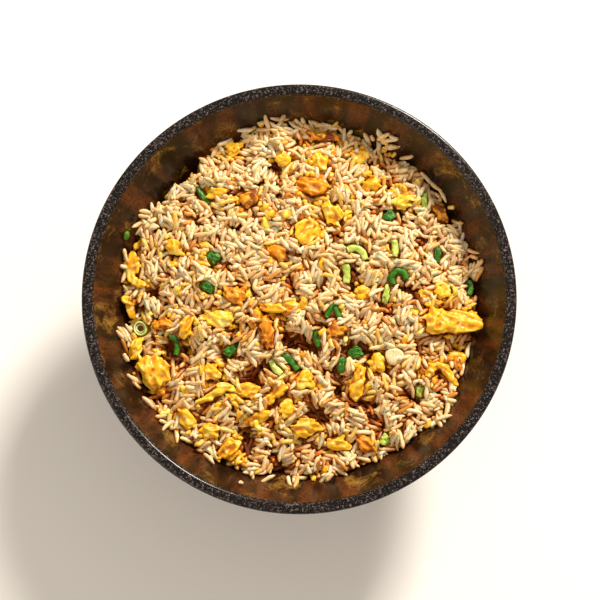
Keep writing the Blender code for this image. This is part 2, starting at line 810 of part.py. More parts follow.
def beside(neighbour, half, draw):
    """Return the place and bearing of a grain that nestles against another."""
    x, y, bearing = neighbour
    turn = draw.uniform(-0.45, 0.45)
    if draw.random() < 0.6:
        along = draw.uniform(-0.4, 0.4) * GRAIN_LENGTH
        across = draw.choice((-1.0, 1.0)) * (RIDGE_SPACING * 1.03 + half * abs(turn))
    else:
        along = draw.choice((-1.0, 1.0)) * (2.0 * half + RIDGE_SPACING * 1.1)
        across = draw.uniform(-1.2, 1.2)
    x += along * math.cos(bearing) - across * math.sin(bearing)
    y += along * math.sin(bearing) + across * math.cos(bearing)
    return x, y, bearing + turn


def pack_ridges(beds, draw):
    """Return the crest lines of the grains that make the heap's surface."""
    taken = PointGrid(GRID_CELL)
    ridges = []
    front = []
    half_range = (0.27 * GRAIN_LENGTH, 0.38 * GRAIN_LENGTH)
    for attempt in range(RIDGE_ATTEMPTS):
        if len(ridges) >= RIDGE_COUNT:
            break
        half = draw.uniform(*half_range)
        if front and attempt % 3:
            x, y, bearing = beside(draw.choice(front[-60:]), half, draw)
        else:
            radius = RIM_INNER_RADIUS * RIDGE_REACH * math.sqrt(draw.random())
            around = draw.uniform(0.0, math.tau)
            x, y = radius * math.cos(around), radius * math.sin(around)
            bearing = grain_bearing(x, y, draw)
        step_x, step_y = half * math.cos(bearing), half * math.sin(bearing)
        samples = [(x + step_x * t, y + step_y * t) for t in (-1.0, -0.5, 0.0, 0.5, 1.0)]
        if not all(inside_heap(a, b, RIDGE_EDGE_MARGIN) for a, b in samples):
            continue
        if not all(clear_of_beds(a, b, beds, RIDGE_BED_MARGIN) for a, b in samples):
            continue
        if any(taken.nearest(a, b) < RIDGE_SPACING for a, b in samples):
            continue
        for a, b in samples:
            taken.add(a, b)
        ridges.append((samples[0], samples[-1]))
        front.append((x, y, bearing))
    return ridges, taken


def pack_valleys(beds, taken):
    """Return the low points between the crest lines."""
    candidates = []
    count = int(2.0 * RIM_INNER_RADIUS / VALLEY_STEP)
    for column in range(count):
        for row in range(count):
            x = -RIM_INNER_RADIUS + VALLEY_STEP * (column + 0.5 * (row % 2))
            y = -RIM_INNER_RADIUS + VALLEY_STEP * row
            if not inside_heap(x, y, VALLEY_EDGE_MARGIN):
                continue
            away = taken.nearest(x, y)
            if away > VALLEY_REACH and clear_of_beds(x, y, beds, VALLEY_BED_MARGIN):
                candidates.append((-round(away, 3), x, y))
    kept = PointGrid(GRID_CELL)
    valleys = []
    for away, x, y in sorted(candidates):
        if kept.nearest(x, y) >= VALLEY_SPACING:
            kept.add(x, y)
            valleys.append((x, y))
    return valleys


def heap_surface_points(beds, draw):
    """Return the surface's plan points with their heights, and its fixed edges."""
    places, heights, edges = [], [], []
    for index in range(HEAP_EDGE_POINTS):
        bearing = math.tau * index / HEAP_EDGE_POINTS
        radius, height = lowered_edge(bearing, beds)
        places.append((radius * math.cos(bearing), radius * math.sin(bearing)))
        heights.append(height)
        edges.append((index, (index + 1) % HEAP_EDGE_POINTS))
    for bed in beds:
        first = len(places)
        for x, y in bed.outline():
            edge_radius = lowered_edge(math.atan2(y, x), beds)[0]
            inward = min(1.0, (edge_radius - EDGE_MARGIN) / math.hypot(x, y))
            x, y = x * inward, y * inward
            places.append((x, y))
            heights.append(min(surface_height(x, y, beds), bed.plane(x, y)))
        edges += [(first + side, first + (side + 1) % BED_SIDES) for side in range(BED_SIDES)]
    ridges, taken = pack_ridges(beds, draw)
    for start, end in ridges:
        tilt = draw.uniform(-0.55, 0.55)
        lift = RIDGE_LIFT * draw.uniform(0.6, 1.35)
        edges.append((len(places), len(places) + 1))
        for (x, y), lean in ((start, tilt), (end, -tilt)):
            places.append((x, y))
            heights.append(heap_height(x, y) + max(0.2, lift + lean))
    for x, y in pack_valleys(beds, taken):
        places.append((x, y))
        heights.append(heap_height(x, y) - VALLEY_DROP)
    return places, heights, edges


def build_heap(beds, draw, collection, parent):
    """Build the heap: a faceted grainy top over an underside that fits the bowl."""
    places, heights, edges = heap_surface_points(beds, draw)
    flat = [Vector(place) for place in places]
    found = delaunay_2d_cdt(flat, edges, [], 1, 0.00001)
    corners, faces, sources = found[0], found[2], found[3]
    shape = bmesh.new()
    verts, edge_verts = [], {}
    for corner, source in zip(corners, sources):
        height = heights[source[0]] if source else surface_height(corner.x, corner.y, beds)
        vert = shape.verts.new(Vector((corner.x, corner.y, height)) * MM)
        verts.append(vert)
        if source and source[0] < HEAP_EDGE_POINTS:
            edge_verts[source[0]] = vert
    for face in faces:
        shape.faces.new([verts[index] for index in face])
    ring = [edge_verts[index] for index in range(HEAP_EDGE_POINTS)]
    for height in HEAP_RING_HEIGHTS:
        radius = cavity_radius(height) - HEAP_WALL_OFFSET
        inner = []
        for index in range(len(ring) // 2):
            bearing = math.tau * 2 * index / len(ring)
            spot = (math.cos(bearing) * radius, math.sin(bearing) * radius)
            inner.append(shape.verts.new(Vector((*spot, height + HEAP_WALL_OFFSET)) * MM))
        for index, vert in enumerate(inner):
            beyond = inner[(index + 1) % len(inner)]
            start, middle = ring[2 * index], ring[2 * index + 1]
            end = ring[(2 * index + 2) % len(ring)]
            shape.faces.new((start, vert, middle))
            shape.faces.new((middle, vert, beyond))
            shape.faces.new((middle, beyond, end))
        ring = inner
    base = shape.faces.new(ring)
    bmesh.ops.triangulate(shape, faces=[base])
    bmesh.ops.recalc_face_normals(shape, faces=shape.faces)
    mesh = bpy.data.meshes.new("rice")
    shape.to_mesh(mesh)
    shape.free()
    return add_object("rice", mesh, collection, parent, "rice")


def grain_mesh(name):
    """Return one plump long grain with few sides, long along Z."""
    shape = bmesh.new()
    bmesh.ops.create_uvsphere(shape, u_segments=5, v_segments=4, radius=1.0)
    for vert in shape.verts:
        vert.co.x *= GRAIN_WIDTH / 2.0 * MM
        vert.co.y *= GRAIN_WIDTH / 2.2 * MM
        vert.co.z *= GRAIN_LENGTH / 2.0 * MM
    mesh = bpy.data.meshes.new(name)
    shape.to_mesh(mesh)
    shape.free()
    return mesh


def grain_fits(centre, direction, beds):
    """Tell whether a grain stays clear of the bowl and of every topping."""
    for share in (-0.5, -0.25, 0.0, 0.25, 0.5):
        point = centre + direction * (share * GRAIN_LENGTH)
        if math.hypot(point.x, point.y) > cavity_radius(point.z) - GRAIN_WALL_MARGIN:
            return False
        if not clear_of_beds(point.x, point.y, beds, GRAIN_BED_MARGIN):
            return False
    return True


def scatter_grains(beds, draw, collection):
    """Place the whole grains that stand proud of the heap and round its edge."""
    placed = []
    golden = math.pi * (3.0 - math.sqrt(5.0))
    spots = []
    for index in range(EDGE_GRAINS):
        bearing = math.tau * (index + draw.uniform(-0.3, 0.3)) / EDGE_GRAINS
        spots.append((bearing, heap_edge(bearing)[0] - draw.uniform(3.0, 6.5)))
    for index in range(LOOSE_GRAINS):
        share = math.sqrt((index + 0.5) / LOOSE_GRAINS)
        spots.append((index * golden, share * LOOSE_REACH * RIM_INNER_RADIUS))
    template = grain_mesh("grain")
    for bearing, radius in spots:
        for attempt in range(GRAIN_ATTEMPTS):
            around = bearing + draw.uniform(-0.04, 0.04) * attempt
            x, y = radius * math.cos(around), radius * math.sin(around)
            turn = draw.uniform(0.0, math.tau)
            pitch = draw.uniform(-0.3, 0.3)
            direction = Vector((
                math.cos(turn) * math.cos(pitch),
                math.sin(turn) * math.cos(pitch),
                math.sin(pitch),
            ))
            centre = Vector((x, y, heap_height(x, y) + GRAIN_LIFT))
            apart = all((centre - other).length > 0.9 * GRAIN_LENGTH for other in placed)
            if apart and grain_fits(centre, direction, beds):
                grain = bpy.data.objects.new("grain", template)
                grain.rotation_euler = direction.to_track_quat("Z", "Y").to_euler()
                grain.location = centre * MM
                collection.objects.link(grain)
                placed.append(centre)
                break


def place_bits(beds, collection):
    """Place the small egg and onion bits that are fused to the rice."""
    for index, (x, y, bearing, length, width, thickness) in enumerate(FUSED_BITS):
        mesh = lump_mesh("bit", length, width, thickness, index, (6, 4))
        item = bpy.data.objects.new("bit", mesh)
        collection.objects.link(item)
        slope = heap_slope(x, y, 2.5)
        height = heap_height(x, y) - 0.3
        lay_down(item, x, y, math.radians(bearing), slope, height)


def keep_largest_body(mesh):
    """Drop loose scraps and sealed hollows that fusing left in a mesh."""
    shape = bmesh.new()
    shape.from_mesh(mesh)
    unseen = set(shape.verts)
    bodies = []
    while unseen:
        front = [unseen.pop()]
        body = list(front)
        while front:
            vert = front.pop()
            for edge in vert.link_edges:
                other = edge.other_vert(vert)
                if other in unseen:
                    unseen.remove(other)
                    body.append(other)
                    front.append(other)
        bodies.append(body)
    bodies.sort(key=len)
    scraps = [vert for body in bodies[:-1] for vert in body]
    bmesh.ops.delete(shape, geom=scraps, context="VERTS")
    bmesh.ops.remove_doubles(shape, verts=shape.verts, dist=FUSE_TOLERANCE * MM)
    midway = [vert for vert in shape.verts if len(vert.link_edges) == 2]
    bmesh.ops.dissolve_verts(shape, verts=midway)
    bmesh.ops.triangulate(shape, faces=shape.faces)
    shape.to_mesh(mesh)
    shape.free()


def fuse(rice, pieces):
    """Join the pieces of a collection to the rice and remove them."""
    join = rice.modifiers.new("join", "BOOLEAN")
    join.operation = "UNION"
    join.operand_type = "COLLECTION"
    join.collection = pieces
    join.solver = "EXACT"
    bpy.context.view_layer.update()
    evaluated = rice.evaluated_get(bpy.context.evaluated_depsgraph_get())
    mesh = bpy.data.meshes.new_from_object(evaluated)
    rice.modifiers.clear()
    rice.data = mesh
    keep_largest_body(mesh)
    for item in list(pieces.objects):
        bpy.data.objects.remove(item, do_unlink=True)
    bpy.data.collections.remove(pieces)


def main():
    """Build the bowl, the toppings and the rice that carries them."""
    clear_scene()
    parts = new_collection("fried_rice")
    pieces = new_collection("fused_pieces")
    serving = bpy.data.objects.new("serving", None)
    parts.objects.link(serving)
    build_bowl(parts, serving)
    beds = [build_curd(curd, index, parts, serving) for index, curd in enumerate(CURDS)]
    for shred in SHREDS:
        beds += build_shred(shred, parts, serving)
    beds.append(build_fold(parts, serving))
    beds.append(build_onion_ring(parts, serving))
    for name, tone, place, size in WALL_BITS:
        build_wall_bit(name, tone, place, size, parts, serving)
    draw = random.Random(HEAP_SEED)
    rice = build_heap(beds, draw, parts, serving)
    scatter_grains(beds, draw, pieces)
    place_bits(beds, pieces)
    fuse(rice, pieces)


main()
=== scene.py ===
"""Visual model of egg fried rice with spring onion in a glazed stoneware bowl."""

import logging
import math
import random
from dataclasses import dataclass, field
from enum import Enum
from typing import Any, Callable, ClassVar, Sequence

import bmesh
import bpy
import numpy as np
from mathutils import Matrix, Vector, noise
from mathutils.bvhtree import BVHTree


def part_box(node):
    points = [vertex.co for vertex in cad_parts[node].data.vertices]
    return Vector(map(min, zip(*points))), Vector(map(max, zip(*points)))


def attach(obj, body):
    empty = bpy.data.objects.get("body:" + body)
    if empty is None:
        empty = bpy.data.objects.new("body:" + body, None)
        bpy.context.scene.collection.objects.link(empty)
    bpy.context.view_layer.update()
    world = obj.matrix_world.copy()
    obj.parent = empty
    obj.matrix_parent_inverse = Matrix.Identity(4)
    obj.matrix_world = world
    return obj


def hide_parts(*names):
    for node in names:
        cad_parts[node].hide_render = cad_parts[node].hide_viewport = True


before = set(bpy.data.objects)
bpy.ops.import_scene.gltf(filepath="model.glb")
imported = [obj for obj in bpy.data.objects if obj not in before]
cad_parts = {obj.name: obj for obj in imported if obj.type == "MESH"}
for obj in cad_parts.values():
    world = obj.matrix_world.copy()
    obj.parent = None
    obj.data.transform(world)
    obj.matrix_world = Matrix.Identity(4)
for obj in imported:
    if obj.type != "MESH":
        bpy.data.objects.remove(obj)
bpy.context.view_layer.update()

MM = 0.001
BODY = "root"
SEED = 11
DOWN = Vector((0.0, 0.0, -1.0))
# Rays that look for a top start this high over the table, in metres
ABOVE = 0.2
LOG = logging.getLogger("fried_rice")


def linear(hex_value: str) -> tuple[float, float, float, float]:
    """Turn an sRGB hex colour into a linear one.

    Args:
        hex_value: Six hex digits, such as "e8c080".

    Returns:
        Red, green, blue and alpha, linear.
    """
    channels = [int(hex_value[place:place + 2], 16) / 255.0 for place in (0, 2, 4)]
    bent = [c / 12.92 if c <= 0.04045 else ((c + 0.055) / 1.055) ** 2.4 for c in channels]
    return bent[0], bent[1], bent[2], 1.0


def feed(tree: bpy.types.NodeTree, socket: bpy.types.NodeSocket, value: Any) -> None:
    """Set a socket, or link another node's output to it.

    Args:
        tree: The material's node tree.
        socket: The socket.
        value: A value or an output.
    """
    if isinstance(value, bpy.types.NodeSocket):
        tree.links.new(value, socket)
    else:
        socket.default_value = value


def add_node(
    tree: bpy.types.NodeTree, kind: str, inputs: dict[str | int, Any], **settings: Any
) -> bpy.types.Node:
    """Add a node with its settings, values and links.

    Args:
        tree: The material's node tree.
        kind: The node's type name.
        inputs: Socket names or numbers, with a value or another node's output.
        **settings: Properties of the node itself.

    Returns:
        The new node.
    """
    node = tree.nodes.new(kind)
    for name, value in settings.items():
        setattr(node, name, value)
    for name, value in inputs.items():
        feed(tree, node.inputs[name], value)
    return node


# Finishes


@dataclass(frozen=True)
class Pattern:
    """A cloudy pattern: the size of its features in mm, and how fine and bent they are."""

    size: float
    detail: float = 2.0
    roughness: float = 0.5
    distortion: float = 0.0


@dataclass(frozen=True)
class Layer:
    """A colour that covers those under it as a field goes from one level to another."""

    colour: str
    where: str = ""
    low: float = 0.0
    high: float = 1.0
    ease: bool = True


@dataclass(frozen=True)
class Relief:
    """Bumps that follow a field: their strength, and their height in mm."""

    where: str
    strength: float
    height: float


@dataclass(frozen=True)
class Finish:
    """What a Principled shader carries; light spreads glow_depth mm inside it."""

    name: str
    roughness: float
    ior: float
    coat: float = 0.0
    coat_roughness: float = 0.1
    glow_depth: float = 0.0
    glow_radius: tuple[float, float, float] = (1.0, 0.5, 0.25)
    glow: float = 0.4
    shine: float = 0.5

    # What the numbers at each vertex stand for
    tones: ClassVar[tuple[str, ...]] = ()
    patterns: ClassVar[dict[str, Pattern]] = {}
    layers: ClassVar[tuple[Layer, ...]] = ()
    reliefs: ClassVar[tuple[Relief, ...]] = ()

    def fields(self, tree: bpy.types.NodeTree) -> dict[str, bpy.types.NodeSocket]:
        """Return the outputs that layers and reliefs follow.

        Args:
            tree: The material's node tree.

        Returns:
            The outputs by name.
        """
        place = add_node(tree, "ShaderNodeTexCoord", {}).outputs["Object"]
        fields = {"place": place}
        if self.tones:
            tone = add_node(tree, "ShaderNodeAttribute", {}, attribute_name="tone")
            parts = add_node(tree, "ShaderNodeSeparateColor", {0: tone.outputs["Color"]})
            fields.update(zip(self.tones, parts.outputs))
        for name, pattern in self.patterns.items():
            fields[name] = add_node(tree, "ShaderNodeTexNoise", {
                "Vector": place, "Scale": 1.0 / (pattern.size * MM), "Detail": pattern.detail,
                "Roughness": pattern.roughness, "Distortion": pattern.distortion,
            }).outputs["Fac"]
        return fields

    def stack(
        self, tree: bpy.types.NodeTree, fields: dict[str, Any], layers: Sequence[Layer]
    ) -> Any:
        """Lay colours over each other.

        Args:
            tree: The material's node tree.
            fields: Outputs by name, some of them colours.
            layers: The layers, lowest first.

        Returns:
            The output, or the colour itself where there is one layer.
        """
        colour = None
        for layer in layers:
            over = fields.get(layer.colour)
            if over is None:
                over = linear(getattr(self, layer.colour))
            if colour is None:
                colour = over
                continue
            share = add_node(
                tree, "ShaderNodeMapRange",
                {"Value": fields[layer.where], "From Min": layer.low, "From Max": layer.high},
                interpolation_type="SMOOTHSTEP" if layer.ease else "LINEAR", clamp=True,
            ).outputs["Result"]
            colour = add_node(
                tree, "ShaderNodeMix", {0: share, 6: colour, 7: over},
                data_type="RGBA", clamp_factor=True,
            ).outputs[2]
        return colour

    def material(self) -> bpy.types.Material:
        """Build the material.

        Returns:
            The material.
        """
        material = bpy.data.materials.new(self.name)
        material.use_nodes = True
        tree = material.node_tree
        fields = self.fields(tree)
        values = {
            "Roughness": self.roughness, "IOR": self.ior, "Specular IOR Level": self.shine,
            "Coat Weight": self.coat, "Coat Roughness": self.coat_roughness,
            "Base Color": self.stack(tree, fields, self.layers),
        }
        if self.glow_depth > 0.0:
            values["Subsurface Weight"] = self.glow
            values["Subsurface Scale"] = self.glow_depth * MM
            values["Subsurface Radius"] = self.glow_radius
        for relief in self.reliefs:
            inputs = {
                "Strength": relief.strength, "Distance": relief.height * MM,
                "Height": fields[relief.where],
            }
            if "Normal" in values:
                inputs["Normal"] = values["Normal"]
            values["Normal"] = add_node(tree, "ShaderNodeBump", inputs).outputs["Normal"]
        for socket, value in values.items():
            feed(tree, tree.nodes["Principled BSDF"].inputs[socket], value)
        return material


@dataclass(frozen=True)
class CookedRice(Finish):
    """Steamed then fried rice: starch that lets light in under a film of oil."""

    glow: float = 0.7
    body: str = "f7deb4"
    second: str = "eec68a"
    # Soy sauce brown, also used as painted shade for grains sunk under the heap's skin
    soaked: str = "d98426"
    heart: str = "fbeed6"
    # Painted shade for the grains sunk deepest under the heap's skin
    sunk: str = "84400c"

    tones: ClassVar[tuple[str, ...]] = ("lot", "depth", "along")
    # Real streaks are about 0.3 mm wide; they are drawn coarser so that they show
    patterns: ClassVar[dict[str, Pattern]] = {
        "streak": Pattern(0.7, 3.0, 0.6), "chalk": Pattern(3.2),
    }
    layers: ClassVar[tuple[Layer, ...]] = (
        Layer("body"), Layer("second", "lot", ease=False), Layer("heart", "chalk", 0.52, 0.7),
        Layer("second", "along", 0.55, 1.0), Layer("soaked", "streak", 0.5, 0.85),
        # Painted shade with soy sauce brown: the deeper under the heap's skin, the darker
        Layer("soaked", "depth", 0.0, 0.62), Layer("sunk", "depth", 0.55, 1.0),
    )
    reliefs: ClassVar[tuple[Relief, ...]] = (Relief("streak", 0.4, 0.16),)


@dataclass(frozen=True)
class ScrambledEgg(Finish):
    """Beaten egg set in hot oil: a bright, pitted curd that browns where it caught."""

    body: str = "f8bd20"
    # Pale is painted highlight, laid in blotches about 4 mm across
    pale: str = "fde072"
    # Fold is painted shade: the orange in folds and pits
    fold: str = "d87206"
    caught: str = "b85a0c"
    # Level of its pattern from which the curd is browned: the lower, the more of it is
    caught_from: float = 0.6

    tones: ClassVar[tuple[str, ...]] = ("ridge",)
    # Real pits are about 0.5 mm wide; they are drawn coarser so that they show
    patterns: ClassVar[dict[str, Pattern]] = {
        "pits": Pattern(1.6, 4.0, 0.6), "highlight_blotches": Pattern(4.0), "heat": Pattern(6.5, 3.0, 0.5, 0.6),
    }
    layers: ClassVar[tuple[Layer, ...]] = (
        # Orange in the low folds and in the pits is painted shade; the pale blotches are painted
        # highlight
        Layer("fold"), Layer("body", "ridge", -0.2, 0.5), Layer("pale", "highlight_blotches", 0.5, 0.72),
        Layer("fold", "pits", 0.6, 0.85), Layer("caught", "scorch", 0.0, 0.12),
    )
    reliefs: ClassVar[tuple[Relief, ...]] = (Relief("pits", 0.35, 0.2),)

    def fields(self, tree: bpy.types.NodeTree) -> dict[str, bpy.types.NodeSocket]:
        """Return the outputs that layers and reliefs follow.

        Args:
            tree: The material's node tree.

        Returns:
            The outputs by name, with how far each place is past its browning.
        """
        fields = super().fields(tree)
        inputs = {0: fields["heat"], 1: self.caught_from}
        fields["scorch"] = add_node(tree, "ShaderNodeMath", inputs, operation="SUBTRACT").outputs[0]
        return fields


@dataclass(frozen=True)
class SpringOnion(Finish):
    """Spring onion leaf or stalk: waxy skin with fine veins along its length."""

    skin: str = "184a08"
    vein: str = "4c9822"
    inside: str = "86b238"

    # A shred has about 12 veins across it; fewer are drawn so that they show
    veins: ClassVar[int] = 7
    tones: ClassVar[tuple[str, ...]] = ("across", "along", "inner")
    patterns: ClassVar[dict[str, Pattern]] = {"cloud": Pattern(2.2, 3.0)}
    layers: ClassVar[tuple[Layer, ...]] = (
        Layer("skin"), Layer("vein", "lines", 0.2, 1.0), Layer("vein", "cloud", 0.45, 0.75),
        Layer("vein", "along", 0.45, 1.1), Layer("inside", "inner", ease=False),
    )
    reliefs: ClassVar[tuple[Relief, ...]] = (Relief("lines", 0.3, 0.12),)

    def fields(self, tree: bpy.types.NodeTree) -> dict[str, bpy.types.NodeSocket]:
        """Return the outputs that layers and reliefs follow.

        Args:
            tree: The material's node tree.

        Returns:
            The outputs by name, with the veins.
        """
        fields = super().fields(tree)
        inputs = {0: fields["across"], 1: math.tau * self.veins}
        turns = add_node(tree, "ShaderNodeMath", inputs, operation="MULTIPLY").outputs[0]
        fields["lines"] = add_node(tree, "ShaderNodeMath", {0: turns}, operation="SINE").outputs[0]
        return fields


@dataclass(frozen=True)
class IronGlaze(Finish):
    """Iron-rich stoneware glaze, fired dark, with ochre where it broke and a speckled lip."""

    shine: float = 0.32
    ground: str = "1e1008"
    warm: str = "623416"
    ochre: str = "96702c"
    lip: str = "0d0a09"
    speck: str = "7c6c68"
    fleck: str = "a89c9e"
    clay: str = "6e5a4a"

    # Heights in mm: speckle above the first, bare clay below the second
    lip_from: ClassVar[float] = 78.4
    clay_to: ClassVar[float] = 2.2
    # Painted reflection of the rice: warm streaks up the wall, about 11 mm wide at the rim, 100 mm
    # out
    streak_width: ClassVar[float] = 100.0 / 9.0
    rim_at: ClassVar[float] = 100.0
    # A metre of height counts as this in their pattern and a metre of rim as 10: the streaks are long
    streak_stretch: ClassVar[float] = 3.2
    fleck_size: ClassVar[float] = 1.0
    # The real speckle is about 0.5 mm across; it is drawn coarser so that it shows
    patterns: ClassVar[dict[str, Pattern]] = {
        "patches": Pattern(14.0, 6.0, 0.68, 0.4), "grit": Pattern(1.1, 3.0, 0.7),
    }
    lip_layers: ClassVar[tuple[Layer, ...]] = (
        Layer("lip"), Layer("speck", "grit", 0.52, 0.72), Layer("fleck", "flecks", 0.16, 0.1),
    )
    layers: ClassVar[tuple[Layer, ...]] = (
        # The warm streaks are painted reflection of the rice in the glaze
        Layer("ground"), Layer("warm", "reflection_streaks", 0.42, 0.68), Layer("ochre", "patches", 0.53, 0.72),
        Layer("ground", "grit", 0.5, 0.66),
        Layer("speckled", "height", (lip_from - 0.5) * MM, lip_from * MM),
        Layer("clay", "height", (clay_to + 0.5) * MM, clay_to * MM),
    )
    reliefs: ClassVar[tuple[Relief, ...]] = (Relief("patches", 0.35, 0.3), Relief("grit", 0.2, 0.1))

    def fields(self, tree: bpy.types.NodeTree) -> dict[str, bpy.types.NodeSocket]:
        """Return the outputs that layers and reliefs follow.

        Args:
            tree: The material's node tree.

        Returns:
            The outputs by name, with the painted reflection streaks, the height and the lip's
            speckle.
        """
        fields = super().fields(tree)
        parts = add_node(tree, "ShaderNodeSeparateXYZ", {0: fields["place"]}).outputs
        flat = add_node(tree, "ShaderNodeCombineXYZ", {0: parts[0], 1: parts[1]}).outputs[0]
        ray = add_node(tree, "ShaderNodeVectorMath", {0: flat}, operation="NORMALIZE").outputs[0]
        inputs = {0: parts[2], 1: self.streak_stretch}
        raised = add_node(tree, "ShaderNodeMath", inputs, operation="MULTIPLY").outputs[0]
        lifted = add_node(tree, "ShaderNodeCombineXYZ", {2: raised}).outputs[0]
        way = add_node(tree, "ShaderNodeVectorMath", {0: ray, 1: lifted}, operation="ADD").outputs[0]
        fields["reflection_streaks"] = add_node(tree, "ShaderNodeTexNoise", {
            "Vector": way, "Scale": self.rim_at / self.streak_width, "Detail": 4.0, "Roughness": 0.6,
        }).outputs["Fac"]
        fields["flecks"] = add_node(tree, "ShaderNodeTexVoronoi", {
            "Vector": fields["place"], "Scale": 1.0 / (self.fleck_size * MM),
        }).outputs["Distance"]
        fields["height"] = parts[2]
        fields["speckled"] = self.stack(tree, fields, self.lip_layers)
        return fields


@dataclass(frozen=True)
class SoyAndShadeRice(Finish):
    """Rice packed under the grains out of reach of the light: brown with soy sauce and oil, and with
    painted shade for the gaps.
    """

    deep: str = "c8741f"
    near: str = "f0ac54"

    patterns: ClassVar[dict[str, Pattern]] = {"lumps": Pattern(2.6, 3.0)}
    layers: ClassVar[tuple[Layer, ...]] = (Layer("deep"), Layer("near", "lumps", 0.4, 0.65))
    reliefs: ClassVar[tuple[Relief, ...]] = (Relief("lumps", 0.7, 0.8),)


@dataclass(frozen=True)
class Paper(Finish):
    """Seamless background paper: matt, so that it takes a soft shadow and no shine."""

    sheet: str = "f7f6f4"
    layers: ClassVar[tuple[Layer, ...]] = (Layer("sheet"),)


class EggKind(Enum):
    """How far each curd of egg was cooked."""

    # Set in hot oil and torn: bright yellow with blotches of painted highlight, orange painted shade
    # in its folds, and an oily sheen
    SOFT = ScrambledEgg("hen_egg_scrambled_in_oil", 0.38, 1.4, 0.1, 0.2, 0.8, (1.0, 0.6, 0.15))
    # Barely set: paler, and smoother to the eye
    PALE = ScrambledEgg(
        "hen_egg_scrambled_soft", 0.4, 1.4, 0.1, 0.2, 0.9, (1.0, 0.6, 0.15),
        body="fbd040", pale="ffec94", fold="e49a16", caught="c07818", caught_from=0.72,
    )
    # Caught on the pan: orange going to brown; on the rear curd in the rim's shadow it is painted
    # shade as well
    BROWNED = ScrambledEgg(
        "hen_egg_fried_brown", 0.38, 1.4, 0.1, 0.2, 0.7, (1.0, 0.5, 0.1),
        body="e8940f", pale="f8bc3c", fold="b85a04", caught="8e4204", caught_from=0.5,
    )


class LeafKind(Enum):
    """The parts of the spring onion, and the white onion."""

    # Sliced and wilted: deep green with paler veins and a faint waxy shine
    LEAF = SpringOnion(
        "spring_onion_leaf_sliced_and_wilted", 0.36, 1.38, 0.06, 0.12, 0.15, (0.5, 1.0, 0.15),
    )
    # Sliced from the pale end: yellow green outside, nearly white inside
    STALK = SpringOnion(
        "spring_onion_stalk_sliced", 0.3, 1.45, 0.35, 0.12, 0.8, (0.6, 1.0, 0.3),
        skin="a5c23a", vein="cfdc70", inside="e6eca6",
    )
    # Sliced and softened in oil: straw-coloured and half clear
    WHITE = SpringOnion(
        "white_onion_softened", 0.26, 1.45, 0.4, 0.1, 1.6, (1.0, 0.7, 0.4),
        skin="e6cc96", vein="f0deb2", inside="eed8a6",
    )


@dataclass(frozen=True)
class Sort:
    """A sort of grain or crumb: its piece, finish and slot, and its share of the heap."""

    piece: str
    finish: Finish
    slot: str
    share: float


class RiceSort(Enum):
    """The sorts of grain."""

    # Steamed, then tossed in oil: cream and half clear, so light spreads from grain to grain
    PALE = Sort("pale_grains", CookedRice(
        "jasmine_rice_steamed", 0.4, 1.38, 0.06, 0.22, 2.0, (1.0, 0.6, 0.32),
    ), "rice", 0.47)
    # Fried against the pan: a thin golden skin that still lets light in
    GOLDEN = Sort("golden_grains", CookedRice(
        "jasmine_rice_fried_in_oil", 0.38, 1.38, 0.08, 0.22, 1.8, (1.0, 0.58, 0.3),
        body="f1d09e", second="e4b26c", soaked="cc7418", heart="f7e2be",
    ), "rice", 0.47)
    # Fried with soy sauce: amber, glossier and less clear
    BROWNED = Sort("browned_grains", CookedRice(
        "jasmine_rice_browned_in_soy_sauce", 0.38, 1.42, 0.2, 0.2, 1.6, (1.0, 0.5, 0.25),
        body="dea04c", second="c8862e", soaked="9c4e08", heart="ecc88c",
    ), "rice", 0.06)
    # Beaten egg set on the grain: a soft yellow film
    COATED = Sort("egg_coated_grains", CookedRice(
        "jasmine_rice_coated_in_egg", 0.4, 1.42, 0.16, 0.22, 1.6, (1.0, 0.62, 0.2),
        body="f6d274", second="f0bd48", soaked="c9780e", heart="fae6a4",
    ), "rice", 0.02)


class CrumbSort(Enum):
    """The sorts of egg crumb among the grains."""

    SOFT = Sort("egg_crumbs_among_rice", EggKind.SOFT.value, "egg", 72.0)
    PALE_EGG = Sort("pale_egg_crumbs_among_rice", EggKind.PALE.value, "egg", 10.0)
    CAUGHT = Sort("browned_egg_crumbs_among_rice", EggKind.BROWNED.value, "egg", 18.0)


# Meshes


def put(
    name: str, mesh: bpy.types.Mesh, finish: Finish, nodes: Sequence[str] = ()
) -> bpy.types.Object:
    """Add a mesh as a piece of the object.

    Args:
        name: The piece's name.
        mesh: Its mesh, in metres.
        finish: Its finish, whose material is built once.
        nodes: CAD nodes that it stands for.

    Returns:
        The new object.
    """
    piece = bpy.data.objects.new(name, mesh)
    bpy.context.scene.collection.objects.link(piece)
    mesh.materials.clear()
    mesh.materials.append(bpy.data.materials.get(finish.name) or finish.material())
    mesh.shade_smooth()
    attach(piece, BODY)
    if nodes:
        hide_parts(*nodes)
    LOG.info("%s: %d faces", name, len(mesh.polygons))
    return piece


def tone_mesh(mesh: bpy.types.Mesh, tones: Any) -> None:
    """Write up to three numbers a vertex to a mesh's tone attribute.

    Args:
        mesh: The mesh to write to.
        tones: One row of numbers a vertex, each 0 to 1.
    """
    rows = np.array(tones)
    layer = mesh.color_attributes.new("tone", "FLOAT_COLOR", "POINT")
    full = np.ones((len(rows), 4), np.float32)
    full[:, :rows.shape[1]] = np.clip(rows, 0.0, 1.0)
    layer.data.foreach_set("color", full.ravel())


